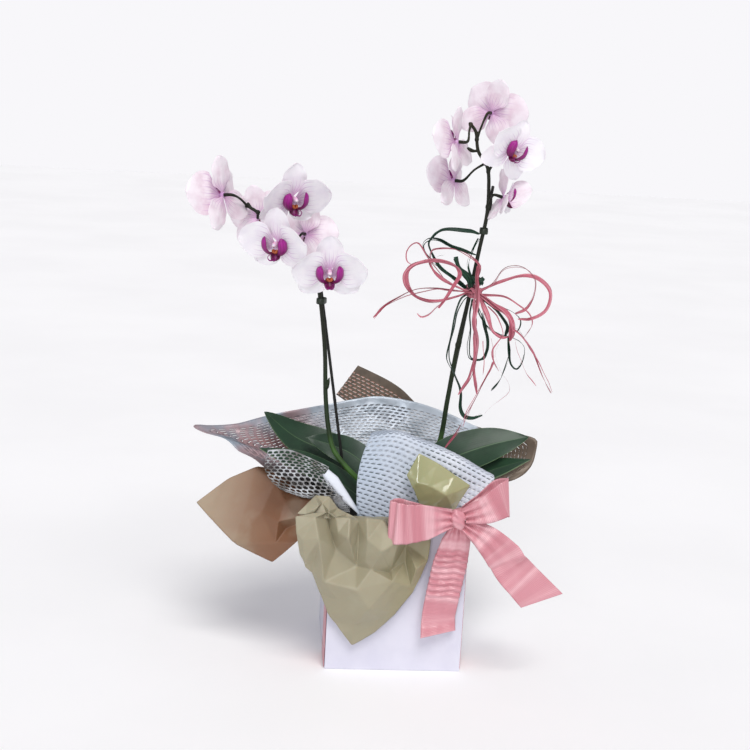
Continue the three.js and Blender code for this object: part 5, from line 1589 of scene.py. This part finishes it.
class OrchidRibbon(bpy.types.Operator):
    """Builds the ribbon: two loops, two tails, the knot, and the bands down the box's sides"""

    bl_idname = "orchid.ribbon"
    bl_label = "Ribbon bow"

    def execute(self, context):
        fabric, ribs = grosgrain(), rib_tree()
        for name, (points, across, widths) in RIBBONS.items():
            total = even_line(points, 200)[1]
            steps = int(total / (sizes().rib_pitch / MM / 4))
            grid, total = strap(points, across, widths, steps, 24)
            run = np.linspace(0, total, steps + 1)[:, None]
            t = np.linspace(-1, 1, 25)[None]
            width = np.interp(run[:, 0] / total, np.linspace(0, 1, len(widths)), widths)[:, None]
            rise = 0 * run * t
            if "band" not in name:
                # gathered into pleats towards the knot
                gathered = np.clip(1 - width / FULL_WIDTH, 0, 1)
                rise = rise + PLEATS[0] * gathered * np.cos(2 * math.pi * PLEATS[1] * t + PLEATS[2])
            if name == "ribbon_tail_front":
                near = np.clip((run - WRINKLES[0]) / 15, 0, 1) * np.clip((WRINKLES[1] - run) / 15, 0, 1)
                turn = 2 * math.pi * (run + 1.5 * np.sin(3 * t)) / WRINKLES[2]
                rise = rise + 1.0 * near * np.sin(turn) * (1 + 0.25 * np.sin(run / 5 + 4 * t))
            if name == "ribbon_loop_left":
                # soft upright dents round the loop's outer bend
                near = np.exp(-(((run - 0.44 * total) / 26) ** 2))
                rise = rise + 1.1 * near * np.sin(2 * math.pi * run / 9.5 + 0.8 * t)
            grid = grid + rise[..., None] * grid_normals(grid)
            if "tail" in name:
                grid = self.cut_end(grid, 9 if name == "ribbon_tail_right" else -5)
            uv = np.stack([run + 0 * t, width / 2 * t], -1).reshape(-1, 2) * MM
            piece = mesh_object(f"{name}_satin", [grid_mesh(grid)], [])
            set_uv(piece, uv)
            run_tree(piece, ribs, fabric, Pitch=sizes().rib_pitch, Height=sizes().rib_height)
            modify(piece, "SOLIDIFY", thickness=sizes().ribbon_thickness, offset=0.0)
            piece = place(settle(piece), "ribbon", name)
        knot, uv = self.knot()
        piece = mesh_object("ribbon_knot_satin", [knot], [])
        set_uv(piece, uv)
        run_tree(piece, ribs, fabric, Pitch=sizes().rib_pitch, Height=sizes().rib_height)
        place(settle(piece), "ribbon", "ribbon_knot")
        return {"FINISHED"}

    @staticmethod
    def cut_end(grid, slant):
        """Shears the last 20 mm or so of a tail, so that its cut end is slanted."""
        steps = len(grid)
        share = np.clip((np.arange(steps) / (steps - 1) - 0.8) / 0.2, 0, 1)[:, None, None]
        along = unit(grid[-1, 12] - grid[-8, 12])
        t = np.linspace(-1, 1, grid.shape[1])[None, :, None]
        return grid + share * slant * t * along

    @staticmethod
    def knot():
        """The knot: a band wrapped round the bow's middle, pulled in at its waist and pleated."""
        rings, uv = [], []
        for f in np.linspace(-1, 1, 25):
            angle = np.linspace(0, 2 * math.pi, 64, endpoint=False)
            c, s = np.cos(angle), np.sin(angle)
            pleat = 1 + 0.05 * np.cos(5 * angle + 4 * f) + 0.05 * np.sin(9 * f + 2 * angle)
            bulge = 1 - 0.35 * abs(f) ** 3
            x = 7.4 * np.sign(c) * np.abs(c) ** 0.8 * pleat * bulge
            y = 7.6 * np.sign(s) * np.abs(s) ** 0.8 * pleat * bulge
            z = 9 * f + 1.5 * np.sin(2 * angle)
            rings.append(np.stack([x, y, z + 0 * x], 1) + KNOT)
            uv.append(np.stack([10.5 * f + 0 * angle, 8 * angle], 1))
        uv = np.concatenate(uv + [np.array([(-10.5, 0), (10.5, 0)])]) * MM
        return lofted(rings), uv


# ---------------------------------------------------------------- raffia
# Each strand: its half width, its turn round its own line from start to end (radians), and its points.
RAFFIA_PINK = [
    (1.6, 0.3, 2.0, [(59, -14, 375), (36, -16, 366), (18, -19, 366), (5, -21, 371), (-4, -24, 382),
        (-5, -26, 393), (3, -29, 402), (17, -30, 407), (32, -29, 406), (43, -28, 402), (47, -28, 395),
        (44, -27, 386), (34, -27, 368), (29, -26, 360)]),
    (1.5, 0.0, -1.4, [(60, -12, 375), (35, -15, 386), (19, -17, 402), (17, -20, 410), (19, -23, 417),
        (29, -23, 419), (45, -21, 416), (60, -20, 410), (68, -18, 401), (66, -16, 389)]),
    (0.7, 0.5, 1.5, [(35, -12, 386), (17, -15, 409), (5, -17, 421), (-2, -20, 419), (-6, -22, 412),
        (-5, -24, 404), (1, -26, 401)]),
    (1.7, 0.2, 1.0, [(62, -14, 376), (40, -18, 378), (24, -22, 380), (6, -26, 377), (-13, -27, 368),
        (-26, -29, 359), (-35, -30, 349)]),
    (1.4, 0.6, -0.8, [(71, -14, 378), (80, -17, 384), (91, -20, 400), (102, -23, 403), (115, -26, 400),
        (123, -24, 391), (121, -22, 374), (115, -20, 362), (106, -18, 356)]),
    (1.6, 0.0, 1.8, [(72, -12, 377), (88, -14, 387), (106, -16, 393), (123, -18, 393), (135, -20, 385),
        (139, -21, 377), (134, -22, 362), (121, -23, 353), (108, -24, 352)]),
    (1.3, 0.8, 0.0, [(72, -14, 373), (91, -20, 373), (106, -25, 368), (118, -27, 360), (123, -26, 348),
        (116, -24, 334)]),
    (2.9, 0.0, 0.9, [(70, -14, 376), (83, -20, 366), (96, -27, 359), (102, -29, 350), (104, -26, 338),
        (102, -24, 330)]),
    (1.4, 0.4, 1.6, [(70, -14, 373), (77, -21, 356), (84, -28, 340), (95, -25, 333), (104, -22, 334)]),
    (1.7, 0.9, 0.0, [(100, -26, 344), (108, -25, 340), (119, -24, 328), (133, -22, 306), (148, -20, 278)]),
    (0.7, 0.0, 1.0, [(103, -24, 337), (107, -23, 332), (112, -22, 317), (120, -21, 299), (132, -20, 285)]),
    (2.6, 0.2, 1.3, [(67, -14, 402), (65, -17, 392), (66, -20, 379), (66, -23, 363), (65, -26, 348),
        (69, -26, 329), (68, -26, 311), (64, -26, 291), (55, -26, 275)]),
    (1.5, 1.0, -0.6, [(67, -14, 375), (64, -17, 362), (66, -21, 347), (65, -24, 332), (68, -25, 313),
        (68, -27, 300), (72, -28, 276)]),
    (1.5, 0.0, 1.4, [(86, -24, 308), (78, -26, 289), (71, -27, 272), (65, -29, 258), (57, -32, 244),
        (43, -34, 222)]),
    (0.3, 0.0, 1.0, [(83, -24, 332), (86, -26, 310), (80, -27, 296), (72, -29, 276), (62, -32, 257),
        (60, -34, 244)]),
    (0.3, 0.0, 1.0, [(75, -24, 329), (77, -26, 311), (77, -26, 295)]),
    (0.8, 0.3, 1.9, [(35, -26, 368), (26, -27, 361), (19, -28, 354), (12, -27, 351), (8, -26, 354)]),
    (0.3, 0.0, 1.0, [(91, -22, 326), (89, -23, 316), (95, -25, 299), (102, -26, 290), (104, -24, 280),
        (95, -22, 269), (82, -20, 254)]),
    (0.6, 0.4, 1.4, [(78, -20, 363), (89, -23, 351), (95, -25, 336), (90, -28, 331), (85, -27, 322),
        (87, -25, 308), (93, -24, 299)]),
]
RAFFIA_GREEN = [
    (1.5, 0.4, 1.6, [(61, 0, 376), (45, 1, 388), (31, 3, 398), (24, 4, 408), (20, 5, 419), (23, 6, 425),
        (29, 5, 432), (42, 5, 435), (58, 4, 434), (69, 4, 431)]),
    (1.3, 0.0, -1.2, [(61, -2, 376), (44, -2, 387), (30, -3, 397), (20, -3, 405), (14, -4, 413),
        (13, -4, 419), (19, -3, 424), (29, -2, 424), (40, 0, 418), (53, 1, 415), (67, 2, 410)]),
    (2.6, 0.2, 0.8, [(45, -8, 409), (50, -11, 399), (58, -11, 389), (62, -8, 376)]),
    (1.4, 0.0, 1.2, [(69, 6, 426), (63, 5, 414), (60, 3, 401), (64, 2, 385)]),
    (1.5, 0.5, 2.2, [(62, 0, 370), (55, -3, 365), (50, -6, 355), (47, -9, 336), (44, -12, 312),
        (44, -15, 305), (50, -16, 292), (56, -16, 278), (59, -16, 259), (64, -16, 250), (71, -16, 248),
        (81, -16, 252)]),
    (1.4, 0.0, 1.5, [(63, -10, 367), (62, -11, 353), (62, -12, 340), (62, -13, 320), (65, -14, 308),
        (78, -13, 308), (82, -12, 316), (81, -11, 327), (74, -10, 354)]),
    (1.4, 0.6, -1.0, [(67, -10, 367), (73, -11, 354), (81, -13, 341), (92, -14, 335), (102, -16, 333),
        (112, -17, 329), (118, -18, 322), (116, -17, 308), (111, -17, 301), (106, -17, 305),
        (103, -16, 321), (101, -16, 332)]),
    (1.2, 0.0, 1.0, [(102, -18, 329), (103, -18, 313), (98, -18, 294), (94, -17, 284), (88, -16, 277)]),
    (1.7, 0.3, 1.0, [(68, -10, 372), (84, -15, 362), (92, -20, 353), (99, -18, 343), (98, -16, 333)]),
    (0.6, 0.2, 1.0, [(90, -14, 363), (103, -17, 357), (111, -20, 351), (112, -18, 344), (109, -16, 337)]),
    (0.3, 0.0, 1.0, [(34, -8, 410), (27, -9, 409), (25, -9, 405), (29, -8, 401)]),
]
# Where each colour is wound round the stem and the stake: middle, radius in X and Y, height of the winding.
PINK_WRAP = ((65, 4, 375), (6.5, 9.5), 10.0)
GREEN_WRAP = ((66, 4, 386), (6.0, 9.0), 5.0)
# Fresh raffia is this much wider than the listed, dried-out widths.
FULLNESS = 1.2


class OrchidRaffia(bpy.types.Operator):
    """Builds the two raffia bows, their knots round the spike and its stake, and their loose ends"""

    bl_idname = "orchid.raffia"
    bl_label = "Raffia bows"

    def execute(self, context):
        tree = strand_tree()
        pink = raffia_fibre("dyed_raffia_pink", colours().raffia_pink, "#E0A0AB")
        green = raffia_fibre("dyed_raffia_green", colours().raffia_green, "#2C5B42")
        for name, strands, wrap, fibre, node in (
            ("raffia_bow_pink", RAFFIA_PINK, PINK_WRAP, pink, "raffia_pink"),
            ("raffia_bow_green", RAFFIA_GREEN, GREEN_WRAP, green, "raffia_green"),
        ):
            rng = np.random.default_rng(len(strands))
            lines = [self.strand(rng, *strand) for strand in strands]
            # wide strands are split: a thinner one lies beside each
            for half, start, end, points in strands:
                if half > 1:
                    beside = np.array(points, float) + rng.uniform(-1.6, 1.6, 3)
                    lines.append(self.strand(rng, half * 0.55, end, start, beside))
            lines += self.winding(rng, *wrap)
            verts, edges, widths, tilts = [], [], [], []
            for points, half, tilt in lines:
                start = len(verts)
                verts += [tuple(p * MM) for p in points]
                edges += [(start + k, start + k + 1) for k in range(len(points) - 1)]
                widths += list(half * MM)
                tilts += list(tilt)
            mesh = bpy.data.meshes.new(name)
            mesh.from_pydata(verts, edges, [])
            mark_points(mesh, "half_width", widths)
            mark_points(mesh, "tilt", tilts)
            bow = in_scene(name, mesh)
            run_tree(bow, tree, fibre, Point_spacing=1.2 * MM, Thickness=sizes().raffia_thickness)
            place(settle(bow), node, node)
        return {"FINISHED"}

    @staticmethod
    def strand(rng, half, turn_start, turn_end, points):
        """A strand with the small bends, narrower places and split tips of real fibre."""
        total = even_line(points, 100)[1]
        count = max(8, int(total / 2))
        line, _ = even_line(points, count)
        run = np.linspace(0, total, count)
        grow = np.minimum(1, np.minimum(run, total - run) / 12)[:, None]
        for size in (26, 11):
            phase = rng.uniform(0, 6, 3)
            line = line + grow * size / 26 * 0.8 * np.sin(run[:, None] / size * 2 + phase)
        u = run / total
        widths = FULLNESS * half * (1 + 0.18 * np.sin(u * 9 + rng.uniform(0, 6)))
        widths = widths * np.minimum(1, 0.35 + (1 - u) * 7)
        tilt = turn_start + (turn_end - turn_start) * u + 0.3 * np.sin(u * 7 + rng.uniform(0, 6))
        return line, widths, tilt

    @staticmethod
    def winding(rng, middle, radii, tall):
        """Turns of raffia round the stem and stake, one over another, and the knot's crossing strands."""
        lines = []
        for k in range(4):
            angle = np.linspace(0, 2 * math.pi, 40) + rng.uniform(0, 6)
            grow = 1 + 0.05 * k
            x = radii[0] * grow * np.cos(angle)
            y = radii[1] * grow * np.sin(angle)
            z = tall * (k - 2) / 5 + 1.6 * np.sin(angle + rng.uniform(0, 6))
            points = np.stack([x, y, z], 1) + middle
            lines.append((points, 1.9 + 0 * angle, 1.4 + 0.3 * np.sin(angle * 2)))
        for _ in range(4):
            rise, dip = rng.uniform(-4, 4, 2)
            points = np.array([(-8, rise / 3, rise), (-3, -2, -dip), (3, -2, dip), (8, 0, rise)])
            points = points + middle + (0, -radii[1] * 1.25, 0)
            line, _ = even_line(points, 14)
            lines.append((line, np.full(14, 2.1), np.linspace(0.2, 1.2, 14)))
        return lines


# ---------------------------------------------------------------- stage
# The camera stands in front, a little to the left of the middle and above, and is held slightly turned.
CAMERA = {"azimuth": -5.0, "height": 12.0, "roll": -3.2, "distance": 1458, "target": (-27.5, 0, 285.5)}
SENSOR = 36.0
FRAME_WIDTH = 750  # millimetres of the target plane across the frame
SWEEP = 6000  # half the floor's side, in millimetres


def sky():
    """A studio's soft light: pale walls all round and a dimmer ceiling, before a white background."""
    world = bpy.data.worlds.new("studio")
    world.use_nodes = True
    tree = world.node_tree
    tree.nodes.clear()
    height = add(tree, SPLIT, [add(tree, "ShaderNodeTexCoord", out="Generated")], "Z")
    seen = add(tree, "ShaderNodeLightPath", out="Is Camera Ray")
    tone = layered(tree, "#D2D2D6", (height, 0.05, 0.35, 1.0, "#B0B0B6"), (seen, 0.0, 1.0, 1.0, "#F8F7FA"))
    add(tree, "ShaderNodeOutputWorld", [add(tree, "ShaderNodeBackground", [tone, 1.0])], None)
    return world


def soft_light(name, spot, target, spread, power, tint):
    """A far soft light that shines from one spot to another, as evenly on the floor as on the object."""
    data = bpy.data.lights.new(name, "SUN")
    data.angle = math.radians(spread)
    data.energy = power
    data.color = linear(tint)[:3]
    lamp = in_scene(name, data)
    spot, target = Vector(spot) * MM, Vector(target) * MM
    lamp.location = spot
    lamp.rotation_euler = (target - spot).to_track_quat("-Z", "Y").to_euler()


class OrchidStage(bpy.types.Operator):
    """Sets the plain pale floor, the soft lights and the camera"""

    bl_idname = "orchid.stage"
    bl_label = "Stage"

    def execute(self, context):
        scene = context.scene
        scene.view_settings.view_transform = "Standard"
        scene.world = sky()
        # matt white background paper, with a grain too fine to see from afar
        paper = grainy(
            "matt_background_paper", colours().floor, "#FBFBFB", 400, 3, 0.02, 0.2, Roughness=0.9
        )
        corners = [(x * SWEEP, y * SWEEP, -0.2) for x, y in ((-1, -1), (1, -1), (1, 1), (-1, 1))]
        sweep = mesh_object("sweep", [(corners, [(0, 1, 2, 3)], 0)], [paper])
        soft_light("key_light", (200, -1100, 1900), (0, 0, 250), 30, 1.75, "#FFFDFA")
        soft_light("front_light", (-350, -1400, 650), (0, 0, 250), 12, 0.75, "#FBFBFF")
        data = bpy.data.cameras.new("camera")
        data.sensor_width = SENSOR
        data.lens = SENSOR * CAMERA["distance"] / FRAME_WIDTH
        data.clip_end = 30
        camera = in_scene("camera", data)
        a, e, r = (math.radians(CAMERA[key]) for key in ("azimuth", "height", "roll"))
        back = Vector((math.sin(a) * math.cos(e), -math.cos(a) * math.cos(e), math.sin(e)))
        right = Vector((math.cos(a), math.sin(a), 0))
        up = back.cross(right)
        turned_right = math.cos(r) * right - math.sin(r) * up
        turned_up = math.cos(r) * up + math.sin(r) * right
        turn = Matrix((turned_right, turned_up, back)).transposed().to_4x4()
        spot = (Vector(CAMERA["target"]) + back * CAMERA["distance"]) * MM
        camera.matrix_world = Matrix.Translation(spot) @ turn
        scene.camera = camera
        return {"FINISHED"}


# ---------------------------------------------------------------- panel, registration and the build
OPERATORS = (
    OrchidStage, OrchidBox, OrchidPot, OrchidBark, OrchidLeaves, OrchidSpikes, OrchidFlowers,
    OrchidFloralPapers,
    OrchidDieCutPapers, OrchidRibbon, OrchidRaffia,
)


class OrchidPanel(bpy.types.Panel):
    """Lists the orchid's sizes, colours and pieces in the sidebar"""

    bl_label = "Potted orchid"
    bl_idname = "VIEW3D_PT_orchid"
    bl_space_type = "VIEW_3D"
    bl_region_type = "UI"
    bl_category = "Orchid"

    def draw(self, context):
        for operator in OPERATORS:
            self.layout.operator(operator.bl_idname)
        for settings in (context.scene.orchid_sizes, context.scene.orchid_colours):
            for key in settings.__annotations__:
                self.layout.prop(settings, key)


CLASSES = (OrchidSizes, OrchidColours, *OPERATORS, OrchidPanel)


def register():
    for item in CLASSES:
        bpy.utils.register_class(item)
    bpy.types.Scene.orchid_sizes = bpy.props.PointerProperty(type=OrchidSizes)
    bpy.types.Scene.orchid_colours = bpy.props.PointerProperty(type=OrchidColours)


def unregister():
    del bpy.types.Scene.orchid_colours
    del bpy.types.Scene.orchid_sizes
    for item in reversed(CLASSES):
        bpy.utils.unregister_class(item)


def main():
    register()
    for operator in OPERATORS:
        group, name = operator.bl_idname.split(".")
        getattr(getattr(bpy.ops, group), name)()


if __name__ == "__main__":
    main()
